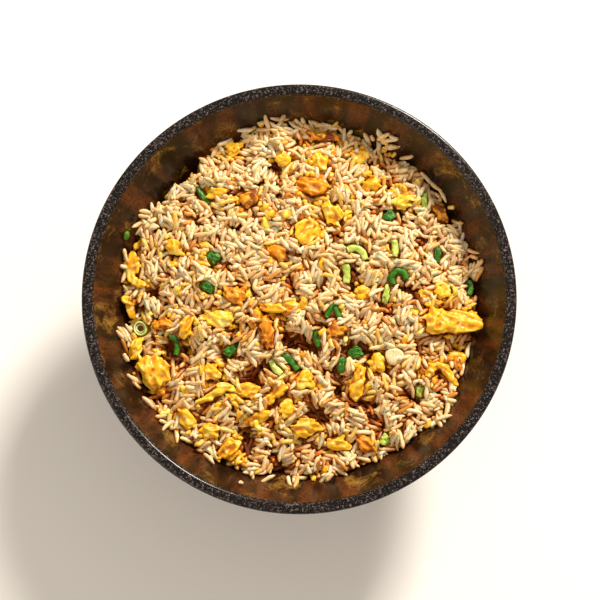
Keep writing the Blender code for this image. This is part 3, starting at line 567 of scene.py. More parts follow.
def mesh_from_arrays(
    name: str, points: np.ndarray, faces: np.ndarray, tones: Any = None
) -> bpy.types.Mesh:
    """Make a mesh whose faces all have the same number of corners.

    Args:
        name: The mesh's name.
        points: One row a vertex, in metres.
        faces: One row of vertex numbers a face.
        tones: One row of numbers a vertex for the tone attribute.

    Returns:
        The mesh.
    """
    mesh = bpy.data.meshes.new(name)
    corners = faces.shape[1]
    mesh.vertices.add(len(points))
    mesh.vertices.foreach_set("co", points.astype(np.float32).ravel())
    mesh.loops.add(faces.size)
    mesh.loops.foreach_set("vertex_index", faces.astype(np.int32).ravel())
    mesh.polygons.add(len(faces))
    mesh.polygons.foreach_set("loop_start", np.arange(0, faces.size, corners, dtype=np.int32))
    mesh.update(calc_edges=True)
    mesh.validate()
    if tones is not None:
        tone_mesh(mesh, tones)
    return mesh


def mesh_from_shape(
    name: str, shape: bmesh.types.BMesh, tones: Any = None
) -> bpy.types.Mesh:
    """Turn an edited shape into a mesh, and let go of it.

    Args:
        name: The mesh's name.
        shape: The shape.
        tones: One row of numbers a vertex for the tone attribute.

    Returns:
        The mesh.
    """
    mesh = bpy.data.meshes.new(name)
    shape.to_mesh(mesh)
    shape.free()
    if tones is not None:
        tone_mesh(mesh, tones)
    return mesh


def shape_of(node: str) -> bmesh.types.BMesh:
    """Return a CAD node's solid as a shape to edit, with its corners joined.

    Args:
        node: The node's name.

    Returns:
        The shape.
    """
    shape = bmesh.new()
    shape.from_mesh(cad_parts[node].data)
    bmesh.ops.remove_doubles(shape, verts=shape.verts, dist=0.01 * MM)
    return shape


def tree_of(thing: bpy.types.Object) -> BVHTree:
    """Return a tree of the faces of an object that sits at the origin."""
    points = [vert.co.copy() for vert in thing.data.vertices]
    return BVHTree.FromPolygons(points, [tuple(poly.vertices) for poly in thing.data.polygons])


def top_of(tree: BVHTree, x: float, y: float) -> float | None:
    """Return the height of a tree's faces at a place, all in mm."""
    hit = tree.ray_cast(Vector((x * MM, y * MM, ABOVE)), DOWN)[0]
    return hit.z / MM if hit else None


# The bowl


@dataclass
class Bowl:
    """Thrown stoneware bowl: a turned section with a flat lip and a foot ring."""

    rim_radius: float = 105.0
    lip_radius: float = 100.0
    height: float = 80.0
    floor_top: float = 12.0
    floor_base: float = 5.0
    # Where the outside meets the foot ring
    foot_top: float = 10.5
    belly: float = 0.36
    foot_radius: float = 46.0
    foot_inner: float = 40.5
    steps: int = 208
    inner_steps: int = 44
    outer_steps: int = 40
    # Corners of the section: radius from the named edge, and height under the rim
    lip_curve: tuple[tuple[float, float], ...] = (
        (-0.45, 1.4), (-0.1, 0.7), (0.35, 0.2), (1.0, 0.03), (2.4, 0.0),
    )
    edge_curve: tuple[tuple[float, float], ...] = (
        (-1.3, 0.04), (-0.6, 0.25), (-0.15, 0.75), (0.0, 1.5),
    )
    # The same for the foot, with heights over the table
    foot_curve: tuple[tuple[float, float], ...] = ((0.6, 4.2), (0.0, 1.0), (-0.35, 0.3), (-1.0, 0.0))
    hollow_curve: tuple[tuple[float, float], ...] = ((1.0, 0.0), (0.3, 0.3), (0.0, 1.0))
    # Thrown, dipped in iron glaze and fired: near black, ochre in patches where it ran thin, with
    # warm streaks of painted reflection of the rice, wet looking, with lamps shown as sharp lines on
    # its edges
    finish: IronGlaze = field(
        default_factory=lambda: IronGlaze("stoneware_thrown_iron_glazed", 0.22, 1.5)
    )

    def wall_height(self, radius: np.ndarray) -> np.ndarray:
        """Return the height of the inner wall at each radius."""
        share = np.clip(radius / self.lip_radius, 0.0, 1.0) ** (1.0 / self.belly)
        return self.floor_top + (self.height - self.floor_top) * share

    def section(self) -> list[tuple[float, float]]:
        """Return the section, up the inside, over the lip and down the outside.

        Returns:
            Pairs of radius and height in mm.
        """
        points = [(0.0, self.floor_top)]
        span = self.height - self.floor_top
        for index in range(1, self.inner_steps):
            level = self.floor_top + span * (index / self.inner_steps) ** 2.2
            share = (level - self.floor_top) / span
            points.append((self.lip_radius * share ** self.belly, level))
        points += [(self.lip_radius + out, self.height - down) for out, down in self.lip_curve]
        points += [(self.rim_radius + out, self.height - down) for out, down in self.edge_curve]
        span = self.height - self.edge_curve[-1][1] - self.floor_base
        for index in range(1, self.outer_steps):
            level = self.floor_base + span * (1.0 - index / self.outer_steps) ** 1.6
            if level < self.foot_top:
                break
            outer = (level - self.floor_base) / (self.height - self.floor_base)
            points.append((self.rim_radius * outer ** self.belly, level))
        points += [(self.foot_radius + out, up) for out, up in self.foot_curve]
        points += [(self.foot_inner + out, up) for out, up in self.hollow_curve]
        return [*points, (self.foot_inner - 1.0, self.floor_base), (0.0, self.floor_base)]

    def build(self) -> bpy.types.Object:
        """Turn the section and dress it.

        Returns:
            The bowl.
        """
        section = self.section()
        rings = section[1:-1]
        shape = bmesh.new()
        grid = []
        for bearing in np.arange(self.steps) * (math.tau / self.steps):
            across, aside = math.cos(bearing), math.sin(bearing)
            grid.append([
                shape.verts.new(Vector((across * out, aside * out, up)) * MM) for out, up in rings
            ])
        base = shape.verts.new(Vector((0.0, 0.0, section[0][1])) * MM)
        under = shape.verts.new(Vector((0.0, 0.0, section[-1][1])) * MM)
        for index, column in enumerate(grid):
            beyond = grid[(index + 1) % self.steps]
            for low in range(len(rings) - 1):
                shape.faces.new((column[low], beyond[low], beyond[low + 1], column[low + 1]))
            shape.faces.new((base, beyond[0], column[0]))
            shape.faces.new((under, column[-1], beyond[-1]))
        bmesh.ops.recalc_face_normals(shape, faces=shape.faces)
        mesh = mesh_from_shape("bowl", shape)
        return put("stoneware_bowl", mesh, self.finish, ["bowl"])


# Egg


@dataclass
class EggCurds:
    """The curds of scrambled egg, each torn and pitted over its CAD form; sizes in mm."""

    voxel: float = 0.4
    # Small flat lumps, set into the curd: one for so much of its area, and three more
    lump_size: tuple[float, float] = (1.3, 3.2)
    lump_length: tuple[float, float] = (1.0, 2.3)
    lump_width: tuple[float, float] = (0.45, 0.9)
    lump_thickness: float = 0.36
    lump_sunk: float = 0.62
    lump_area: float = 30.0
    # Folds run along the curd: their length, width and height, and how far they slant
    fold_size: tuple[float, float, float] = (8.5, 3.4, 4.4)
    fold_slant: float = 0.35
    fold_depth: float = 1.3
    crumb_size: float = 1.7
    # Folds fade out this near to the curd's underside
    fade: float = 1.5
    # egg_rear_shaded lies in the rim's shadow: its browned finish there is painted shade as well as
    # browning
    browned: tuple[str, ...] = (
        "egg_left_orange", "egg_left_mid", "egg_rear_curl", "egg_rear_brown",
        "egg_rear_shaded", "egg_middle_small", "egg_right_orange", "egg_centre_brown",
        "egg_centre_right", "egg_front_right",
    )
    pale: tuple[str, ...] = ("egg_left_pale", "egg_right_rear", "egg_front_strip")

    def kind_of(self, node: str) -> EggKind:
        """Return how far a node's curd was cooked."""
        if node in self.browned:
            return EggKind.BROWNED
        return EggKind.PALE if node in self.pale else EggKind.SOFT

    def add_lumps(self, shape: bmesh.types.BMesh, bearing: float, draw: random.Random) -> None:
        """Set small lumps into a curd's top and sides.

        Args:
            shape: The curd.
            bearing: The way that the curd lies, in radians.
            draw: Source of chance.
        """
        centre = sum((vert.co for vert in shape.verts), Vector()) / len(shape.verts)
        faces = [face for face in shape.faces if face.normal.z > -0.1]
        weights = [face.calc_area() for face in faces]
        area = sum(weights) / MM ** 2
        spots = draw.choices(faces, weights, k=int(3 + area / self.lump_area))
        places = [(face.calc_center_median(), face.normal.copy()) for face in spots]
        for place, normal in places:
            size = draw.uniform(*self.lump_size)
            spot = place + (centre - place) * 0.06 - normal * (size * self.lump_sunk * MM)
            length, width = draw.uniform(*self.lump_length), draw.uniform(*self.lump_width)
            turn = Matrix.Rotation(draw.gauss(bearing, 0.6), 4, "Z")
            tilt = Matrix.Rotation(draw.uniform(-1.0, 1.0), 4, "X")
            stretch = Matrix.Diagonal((length, width, self.lump_thickness, 1.0))
            bmesh.ops.create_icosphere(
                shape, subdivisions=2, radius=size * MM,
                matrix=Matrix.Translation(spot) @ turn @ tilt @ stretch,
            )

    def fuse(self, shape: bmesh.types.BMesh) -> bpy.types.Mesh:
        """Let a curd and its lumps grow together under one skin.

        Args:
            shape: The curd with its lumps.

        Returns:
            The skin.
        """
        rough = mesh_from_shape("curd_blank", shape)
        blank = bpy.data.objects.new("curd_blank", rough)
        bpy.context.scene.collection.objects.link(blank)
        fusing = blank.modifiers.new("fuse", "REMESH")
        fusing.mode = "VOXEL"
        fusing.voxel_size = self.voxel * MM
        easing = blank.modifiers.new("ease", "SMOOTH")
        easing.factor = 0.5
        easing.iterations = 4
        bpy.context.view_layer.update()
        graph = bpy.context.evaluated_depsgraph_get()
        mesh = bpy.data.meshes.new_from_object(blank.evaluated_get(graph))
        bpy.data.objects.remove(blank, do_unlink=True)
        bpy.data.meshes.remove(rough)
        return mesh

    def crumble(self, node: str, seed: int) -> bpy.types.Mesh:
        """Roughen a solid into a curd: small lumps on it, fused, then pits and folds.

        Args:
            node: The CAD node.
            seed: Seed of this curd's draws.

        Returns:
            The curd's mesh, with its tone attribute.
        """
        shape = shape_of(node)
        floor = min(vert.co.z for vert in shape.verts)
        spread = np.cov(np.array([vert.co.xy[:] for vert in shape.verts]).T)
        longest = np.linalg.eigh(spread)[1][:, 1]
        bearing = math.atan2(longest[1], longest[0])
        self.add_lumps(shape, bearing, random.Random(seed))
        mesh = self.fuse(shape)
        shift = Vector((seed * 3.1, seed * 1.7, seed * 2.3))
        turn = Matrix.Rotation(self.fold_slant - bearing, 3, "Z")
        moved, tones = [], []
        for vert in mesh.vertices:
            sample = vert.co / MM
            bent = sample + Vector((0.0, 0.0, 2.0 * noise.noise(sample / 5.0 + shift)))
            bent.rotate(turn)
            along = Vector([part / size for part, size in zip(bent, self.fold_size)])
            ridge = 1.0 - abs(noise.noise(along + shift)) * 2.6
            crumb = noise.noise(sample / self.crumb_size + shift)
            level = min(1.0, (vert.co.z - floor) / (self.fade * MM))
            depth = (0.62 * (ridge - 0.55) + 0.15 * crumb) * self.fold_depth * max(0.15, level)
            moved.append(vert.co + vert.normal * (depth * MM))
            # Low in the folds the tone is small, so that the finish paints them orange as painted
            # shade
            tones.append((0.42 + 0.5 * (ridge - 0.5) + 0.35 * crumb,))
        for vert, place in zip(mesh.vertices, moved):
            vert.co = place
        tone_mesh(mesh, tones)
        return mesh

    def build(self) -> list[bpy.types.Object]:
        """Build every curd that the CAD model has.

        Returns:
            The curds.
        """
        names = sorted(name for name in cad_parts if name.startswith("egg_"))
        return [
            put("curd_of_" + name, self.crumble(name, seed), self.kind_of(name).value, [name])
            for seed, name in enumerate(names)
        ]


# Spring onion


@dataclass(frozen=True)
class Shred:
    """A shred of spring onion: its name, part, width, height and path over the heap."""

    name: str
    kind: LeafKind
    width: float
    depth: float
    path: tuple[tuple[float, float], ...]

    @property
    def node(self) -> str:
        """Return the CAD node that it stands for."""
        return "spring_onion_" + self.name


@dataclass
class SpringOnions:
    """Shreds and slices of spring onion, cut from hollow leaves and layered stalks."""

    wall: float = 0.55
    stations: int = 18
    sides: int = 9
    # How far shreds swell, narrow towards their ends and buckle
    swell: float = 0.3
    taper: float = 0.12
    buckle: float = 0.7
    shreds: tuple[Shred, ...] = (
        Shred("slice", LeafKind.STALK, 3.9, 1.9, ((22.6, 16.4), (23.4, 12.0), (23.0, 7.4))),
        Shred("arch", LeafKind.STALK, 3.2, 1.7,
              ((23.6, 23.8), (27.4, 24.8), (31.0, 22.8), (32.6, 18.8))),
        Shred("stalk", LeafKind.STALK, 3.5, 2.2, ((46.8, 29.0), (47.2, 24.6), (46.8, 20.4))),
        Shred("fold", LeafKind.LEAF, 2.8, 1.7,
              ((-63.6, -17.8), (-60.4, -19.4), (-59.8, -23.6), (-60.4, -27.0))),
        Shred("centre", LeafKind.LEAF, 2.7, 1.6, ((8.6, -15.6), (8.2, -19.4), (9.6, -23.4))),
        Shred("front", LeafKind.LEAF, 3.2, 1.6, ((-7.4, -27.2), (-4.2, -30.6), (-0.8, -34.8))),
        Shred("bent", LeafKind.LEAF, 2.4, 1.6,
              ((13.0, -9.6), (15.8, -5.0), (17.4, -4.8), (19.8, -9.8))),
        Shred("edge", LeafKind.LEAF, 2.6, 1.6, ((84.0, 10.0), (85.0, 6.6), (83.8, 2.6))),
        Shred("tuft", LeafKind.STALK, 3.2, 1.7, ((-13.8, -30.4), (-12.2, -34.0), (-8.6, -37.2))),
        Shred("curl", LeafKind.LEAF, 3.2, 2.4,
              ((45.9, 6.6), (45.2, 10.4), (47.8, 13.2), (51.4, 12.6), (52.4, 9.4))),
        Shred("rear", LeafKind.LEAF, 2.6, 1.6, ((-50.2, 56.6), (-48.4, 53.2), (-44.6, 48.4))),
    )
    # The cut slice's layers in mm: outer and inner radius, and height
    ring_layers: tuple[tuple[float, float, float], ...] = ((3.7, 2.7, 2.4), (2.35, 1.75, 1.9))
    ring_steps: int = 36
    # How far the slice has sunk in, from the middle of its solid
    ring_sunk: float = 1.2

    def course(self, path: Sequence[tuple[float, float]]) -> list[Vector]:
        """Return evenly spread points on a smooth curve through a plan path.

        Args:
            path: The path's corners in mm.

        Returns:
            The points in mm.
        """
        knots = [Vector(point) for point in path]
        ends = [2.0 * knots[0] - knots[1], *knots, 2.0 * knots[-1] - knots[-2]]
        spans = len(knots) - 1
        places = []
        for index in range(self.stations):
            position = index / (self.stations - 1) * spans
            span = min(spans - 1, int(position))
            t = position - span
            a, b, c, d = ends[span:span + 4]
            curve = (
                2.0 * b + (c - a) * t + (2.0 * a - 5.0 * b + 4.0 * c - d) * t * t
                + (3.0 * b - a - 3.0 * c + d) * t ** 3
            )
            places.append(curve / 2.0)
        return places

    def section(self, width: float, depth: float) -> list[tuple[float, float, float]]:
        """Return the section of a hollow leaf cut open and lying on its cut.

        Args:
            width: Width of the shred in mm.
            depth: Height of the shred in mm.

        Returns:
            Across, up and 1 on the inner side, for each corner.
        """
        turns = [math.pi * index / (self.sides - 1) for index in range(self.sides)]
        return [
            (-math.cos(turn) * (width / 2.0 - thin), math.sin(turn) ** 0.7 * (depth - thin), inner)
            for thin, inner, side in ((0.0, 0.0, turns), (self.wall, 1.0, turns[::-1]))
            for turn in side
        ]

    def sweep(self, shred: Shred, seed: int) -> bpy.types.Mesh:
        """Sweep a shred's section along its path, on top of its CAD solid's base.

        Args:
            shred: The shred.
            seed: Seed of this shred's unevenness.

        Returns:
            The shred's mesh, with its tone attribute.
        """
        tree = tree_of(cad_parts[shred.node])
        places = self.course(shred.path)
        tops = [top_of(tree, place.x, place.y) for place in places]
        known = [top for top in tops if top is not None]
        tops = [top if top is not None else sum(known) / len(known) for top in tops]
        tops[0], tops[-1] = 2.0 * tops[2] - tops[4], 2.0 * tops[-3] - tops[-5]
        corners = self.section(shred.width, shred.depth)
        count = len(corners)
        points, tones, faces = [], [], []
        for index, place in enumerate(places):
            before, after = places[max(0, index - 1)], places[min(len(places) - 1, index + 1)]
            along = (after - before).normalized()
            across = Vector((-along.y, along.x))
            share = index / (self.stations - 1)
            swell = 1.0 + self.swell * noise.noise(Vector((share * 3.0, seed * 5.3, 0.0)))
            swell *= 1.0 - self.taper * abs(2.0 * share - 1.0) ** 3
            for corner, (side, up, inner) in enumerate(corners):
                flat = place + across * side * swell
                sample = Vector((share * 7.0, corner * 0.45, seed * 2.1))
                rough = self.buckle * noise.noise(sample)
                points.append((flat.x, flat.y, tops[index] - shred.depth + up + rough))
                tones.append((side / shred.width + 0.5, share, inner))
        for first in range(0, (self.stations - 1) * count, count):
            for corner in range(count):
                beyond, second = (corner + 1) % count, first + count
                faces.append((first + corner, first + beyond, second + beyond, second + corner))
        for start in (0, (self.stations - 1) * count):
            for corner in range(count // 2 - 1):
                last = start + count - 1 - corner
                faces.append((start + corner, start + corner + 1, last - 1, last))
        return mesh_from_arrays(shred.node, np.array(points) * MM, np.array(faces), tones)

    def ring(self, node: str) -> bpy.types.Mesh:
        """Turn the cut slice: an outer skin and a loose inner layer.

        Args:
            node: The CAD node of the ring.

        Returns:
            The ring's mesh, with its tone attribute.
        """
        low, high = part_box(node)
        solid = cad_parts[node].data
        normal = Vector((0.0, 0.0, 0.0))
        for poly in solid.polygons:
            if poly.normal.z > 0.8:
                normal += poly.normal * poly.area
        turn = Vector((0.0, 0.0, 1.0)).rotation_difference(normal.normalized()).to_matrix()
        middle = (low + high) / 2.0
        level = sum(vert.co.z for vert in solid.vertices) / len(solid.vertices)
        middle.z = level - self.ring_sunk * MM
        points, faces, tones = [], [], []
        for outer, inner, height in self.ring_layers:
            first = len(points)
            section = (
                (outer, 0.2), (outer, height * 0.8), (outer - 0.25, height),
                (inner + 0.2, height), (inner, height * 0.8), (inner, 0.2),
            )
            count = len(section)
            for step in range(self.ring_steps):
                bearing = math.tau * step / self.ring_steps
                wobble = 1.0 + 0.05 * math.sin(2.0 * bearing + outer)
                here, there = first + step * count, first + (step + 1) % self.ring_steps * count
                for corner, (radius, up) in enumerate(section):
                    local = Vector((
                        math.cos(bearing) * radius * wobble,
                        math.sin(bearing) * radius * wobble * 0.95, up,
                    ))
                    points.append(middle + turn @ (local * MM))
                    skin = outer == self.ring_layers[0][0] and radius > outer - 0.3
                    tones.append((step / self.ring_steps, up / height, 0.0 if skin else 1.0))
                    beyond = (corner + 1) % count
                    faces.append((here + corner, there + corner, there + beyond, here + beyond))
        return mesh_from_arrays(node, np.array(points), np.array(faces), tones)

    def build(self) -> list[bpy.types.Object]:
        """Build the shreds and the ring.

        Returns:
            The pieces.
        """
        ring = "spring_onion_ring"
        made = [(s.node, s.kind, self.sweep(s, seed)) for seed, s in enumerate(self.shreds)]
        made.append((ring, LeafKind.STALK, self.ring(ring)))
        return [
            put("cut_" + node, mesh, kind.value, [node])
            for node, kind, mesh in made
        ]


# Small bits


@dataclass
class SmallBits:
    """Egg crumbs and slivers of spring onion that the CAD heap has fused to it.

    Each row has a place, a bearing in degrees, a length, a width and a height.
    """

    egg: tuple[tuple[float, ...], ...] = (
        (-5.2, -54.0, 20.0, 7.4, 6.6, 3.6), (37.6, -31.6, 20.0, 8.0, 6.4, 3.4),
        (77.0, -27.6, -20.0, 8.2, 4.4, 3.0), (-8.2, 69.6, 70.0, 7.6, 6.4, 3.2),
        (31.6, 73.4, 10.0, 6.4, 5.2, 3.0), (-32.6, 76.6, 20.0, 7.8, 6.0, 3.2),
        (3.0, -40.0, 30.0, 7.4, 6.6, 3.4), (31.2, 2.8, 10.0, 7.6, 5.6, 3.0),
        (-49.0, 18.0, -20.0, 8.2, 4.4, 2.8), (69.6, 3.4, 30.0, 7.4, 5.8, 3.2),
    )
    leaf: tuple[tuple[float, ...], ...] = (
        (-33.6, -25.2, 30.0, 6.8, 3.6, 2.2), (-41.8, 20.4, -30.0, 5.4, 3.6, 2.2),
        (-44.6, 5.6, -30.0, 6.2, 3.4, 2.2), (68.4, 22.0, 88.0, 6.6, 2.6, 2.2),
        (44.0, 41.0, 50.0, 5.6, 4.0, 2.4), (20.6, -32.6, 80.0, 6.4, 2.8, 2.2),
        (27.4, -26.4, 10.0, 5.6, 4.2, 2.4),
    )
    stalk: tuple[tuple[float, ...], ...] = (
        (62.4, 50.8, 88.0, 6.2, 2.6, 2.2), (42.4, 1.8, 80.0, 7.4, 3.0, 2.2),
        (58.6, -44.6, 80.0, 5.0, 3.2, 2.2), (41.4, -68.6, 40.0, 5.0, 4.0, 2.4),
    )

    def lump(self, row: Sequence[float], top: float, seed: int, flat: bool) -> bpy.types.Mesh:
        """Shape one bit.

        Args:
            row: Place, bearing, length, width and height in mm.
            top: Height of its top in mm.
            seed: Seed of its unevenness.
            flat: Whether it is a cut sliver and not a crumb.

        Returns:
            The bit's mesh, with its tone attribute.
        """
        x, y, bearing, length, width, depth = row
        shape = bmesh.new()
        bmesh.ops.create_icosphere(shape, subdivisions=4, radius=1.0)
        tones = []
        turn = Matrix.Rotation(math.radians(bearing), 3, "Z")
        for vert in shape.verts:
            sample = vert.co * 1.4 + Vector((seed * 4.1, seed * 2.9, seed))
            broad = noise.noise(sample)
            ridge = 1.0 - abs(noise.noise(sample * 1.7)) * 2.4
            swell = 1.0 + 0.75 * broad + 0.24 * (ridge - 0.3)
            across = vert.co.y
            if flat:
                across = math.copysign(abs(vert.co.y) ** 0.6, vert.co.y)
            place = Vector((
                vert.co.x * length / 2.0 * swell, across * width / 2.0 * swell,
                vert.co.z * depth / 2.0 * swell,
            ))
            vert.co = (turn @ place + Vector((x, y, top - depth / 2.0))) * MM
            if flat:
                tones.append((across * 0.5 + 0.5, 0.5, max(0.0, -vert.normal.z)))
            else:
                # Low in the folds the tone is small, so that the egg finish paints them orange as
                # painted shade
                tones.append((0.45 + 0.4 * (ridge - 0.4) + 0.3 * broad,))
        return mesh_from_shape("bit", shape, tones)

    def build(self, rice: BVHTree) -> list[bpy.types.Object]:
        """Build the bits where the CAD heap carries them.

        Args:
            rice: Tree of the CAD heap's faces.

        Returns:
            The bits.
        """
        groups = (
            ("egg_crumb", self.egg, EggKind.SOFT.value, "egg", False),
            ("leaf_sliver", self.leaf, LeafKind.LEAF.value, "spring_onion", True),
            ("stalk_sliver", self.stalk, LeafKind.STALK.value, "spring_onion", True),
        )
        pieces = []
        for name, rows, finish, slot, flat in groups:
            for index, row in enumerate(rows):
                mesh = self.lump(row, top_of(rice, row[0], row[1]), index + len(pieces), flat)
                pieces.append(put(f"{name}_{index + 1}", mesh, finish))
        return pieces


@dataclass
class RoundedNodes:
    """Pieces whose CAD solid needs only rounding: the onion and the bits on the wall."""

    # How uneven their faces are, in mm
    uneven: float = 0.12
    rows: tuple[tuple[str, Finish, str], ...] = (
        ("onion_slice", LeafKind.WHITE.value, "onion"),
        ("spring_onion_bit_on_wall", LeafKind.LEAF.value, "spring_onion"),
        ("rice_crumb_on_wall", RiceSort.PALE.value.finish, "rice"),
    )

    def build(self) -> list[bpy.types.Object]:
        """Round each solid and roughen it a little.

        Returns:
            The pieces.
        """
        pieces = []
        for seed, (node, finish, slot) in enumerate(self.rows):
            shape = shape_of(node)
            bmesh.ops.subdivide_edges(
                shape, edges=shape.edges, cuts=3, use_grid_fill=True, smooth=0.6,
            )
            low = min(vert.co.x for vert in shape.verts)
            wide = max(vert.co.x for vert in shape.verts) - low
            tones = []
            for vert in shape.verts:
                rough = noise.noise(vert.co / MM + Vector((seed, 0, 0)))
                vert.co += vert.normal * (self.uneven * MM * rough)
                tones.append(((vert.co.x - low) / wide, 0.2, 0.3))
            mesh = mesh_from_shape(node, shape, tones)
            pieces.append(put("cooked_" + node, mesh, finish, [node]))
        return pieces


# Rice


@dataclass(frozen=True)
class GrainShape:
    """One shape of cooked long grain, long along X, in mm."""

    length: float
    width: float
    bend: float
    blunt: float
    flatness: float
    wave: float
    rings: int = 8
    sides: int = 6

    def half_width(self, share: np.ndarray) -> np.ndarray:
        """Return the half width at each share of the half length."""
        body = np.clip(1.0 - np.abs(share) ** self.blunt, 0.0, 1.0) ** 0.5
        return self.width / 2.0 * body * (1.0 - 0.08 * share + 0.09 * np.sin(5.0 * share + self.wave))

    def centre_line(self, share: np.ndarray) -> np.ndarray:
        """Return how far the bent middle line lies to the side."""
        return self.bend * (0.5 - share ** 2)

    def solid(self) -> tuple[np.ndarray, np.ndarray, np.ndarray]:
        """Return the grain's points, triangles and place along its length.

        Returns:
            Points in mm, triangles, and each point's distance from the middle, 0 to 1.
        """
        shares = np.sin(np.linspace(-math.pi / 2, math.pi / 2, self.rings + 2))[1:-1]
        radii = self.half_width(shares)
        turns = np.arange(self.sides) * (math.tau / self.sides)
        tip = float(self.centre_line(np.array(1.0)))
        points = [(-self.length / 2.0, tip, 0.0)]
        for share, radius in zip(shares, radii):
            side = float(self.centre_line(np.array(share)))
            for turn in turns:
                sample = Vector((share * 1.8, math.cos(turn), math.sin(turn) + self.wave * 7.0))
                ripple = 1.0 + 0.3 * noise.noise(sample * 1.1)
                points.append((
                    share * self.length / 2.0,
                    side + math.cos(turn) * radius * ripple,
                    math.sin(turn) * radius * self.flatness * ripple,
                ))
        points.append((self.length / 2.0, tip, 0.0))
        last = len(points) - 1
        faces = []
        for corner in range(self.sides):
            beyond = (corner + 1) % self.sides
            faces.append((0, 1 + beyond, 1 + corner))
            for ring in range(self.rings - 1):
                low, high = 1 + ring * self.sides, 1 + (ring + 1) * self.sides
                faces.append((low + corner, low + beyond, high + beyond))
                faces.append((low + corner, high + beyond, high + corner))
            end = 1 + (self.rings - 1) * self.sides
            faces.append((last, end + corner, end + beyond))
        array = np.array(points)
        return array, np.array(faces), np.abs(array[:, 0]) / (self.length / 2.0)

    def footprint(self, bearing: float, cell: float) -> tuple[np.ndarray, ...]:
        """Return the cells that the grain covers when it lies at a bearing.

        Args:
            bearing: Its bearing in radians.
            cell: Size of a cell in mm.

        Returns:
            Cell offsets along X and Y, distance along the grain, and half its height there.
        """
        reach = int((self.length / 2.0 + abs(self.bend) + 1.0) / cell) + 1
        steps = np.arange(-reach, reach + 1)
        across_x, across_y = np.meshgrid(steps, steps, indexing="ij")
        x, y = across_x * cell, across_y * cell
        along = x * math.cos(bearing) + y * math.sin(bearing)
        aside = -x * math.sin(bearing) + y * math.cos(bearing)
        share = np.clip(along / (self.length / 2.0), -1.0, 1.0)
        half = self.half_width(share)
        off = aside - self.centre_line(share)
        inside = (np.abs(along) < self.length / 2.0) & (np.abs(off) < half)
        height = self.flatness * np.sqrt(np.clip(half ** 2 - off ** 2, 0.0, None))
        return across_x[inside], across_y[inside], along[inside], height[inside]


@dataclass(frozen=True)
class CrumbShape(GrainShape):
    """A torn crumb of egg that lies among the grains."""

    def solid(self) -> tuple[np.ndarray, np.ndarray, np.ndarray]:
        """Return the crumb's points, triangles and how far each point stands out.

        Returns:
            Points in mm, triangles, and 0 in a fold to 1 on a ridge.
        """
        shape = bmesh.new()
        bmesh.ops.create_icosphere(shape, subdivisions=2, radius=1.0)
        half = np.array((self.length, self.width, self.width * self.flatness)) / 2.0
        points, stands = [], []
        for vert in shape.verts:
            sample = vert.co * 1.2 + Vector((self.wave * 5.0, self.wave * 3.0, self.wave))
            swell = 0.9 * noise.noise(sample) + 0.35 * noise.noise(sample * 2.3)
            points.append(np.array(vert.co) * half * (1.05 + swell))
            stands.append(0.5 + 1.1 * swell)
        faces = [[vert.index for vert in face.verts] for face in shape.faces]
        shape.free()
        return np.array(points), np.array(faces), np.clip(np.array(stands), 0.0, 1.0)


@dataclass(frozen=True)
class Landing:
    """Where a grain can come to rest: how far over the heap's target, where and how."""

    over: float
    shape: int
    bearing: int
    column: int
    row: int
    height: float
    tilt: float
    cells: tuple[np.ndarray, np.ndarray]
    along: np.ndarray
    half: np.ndarray


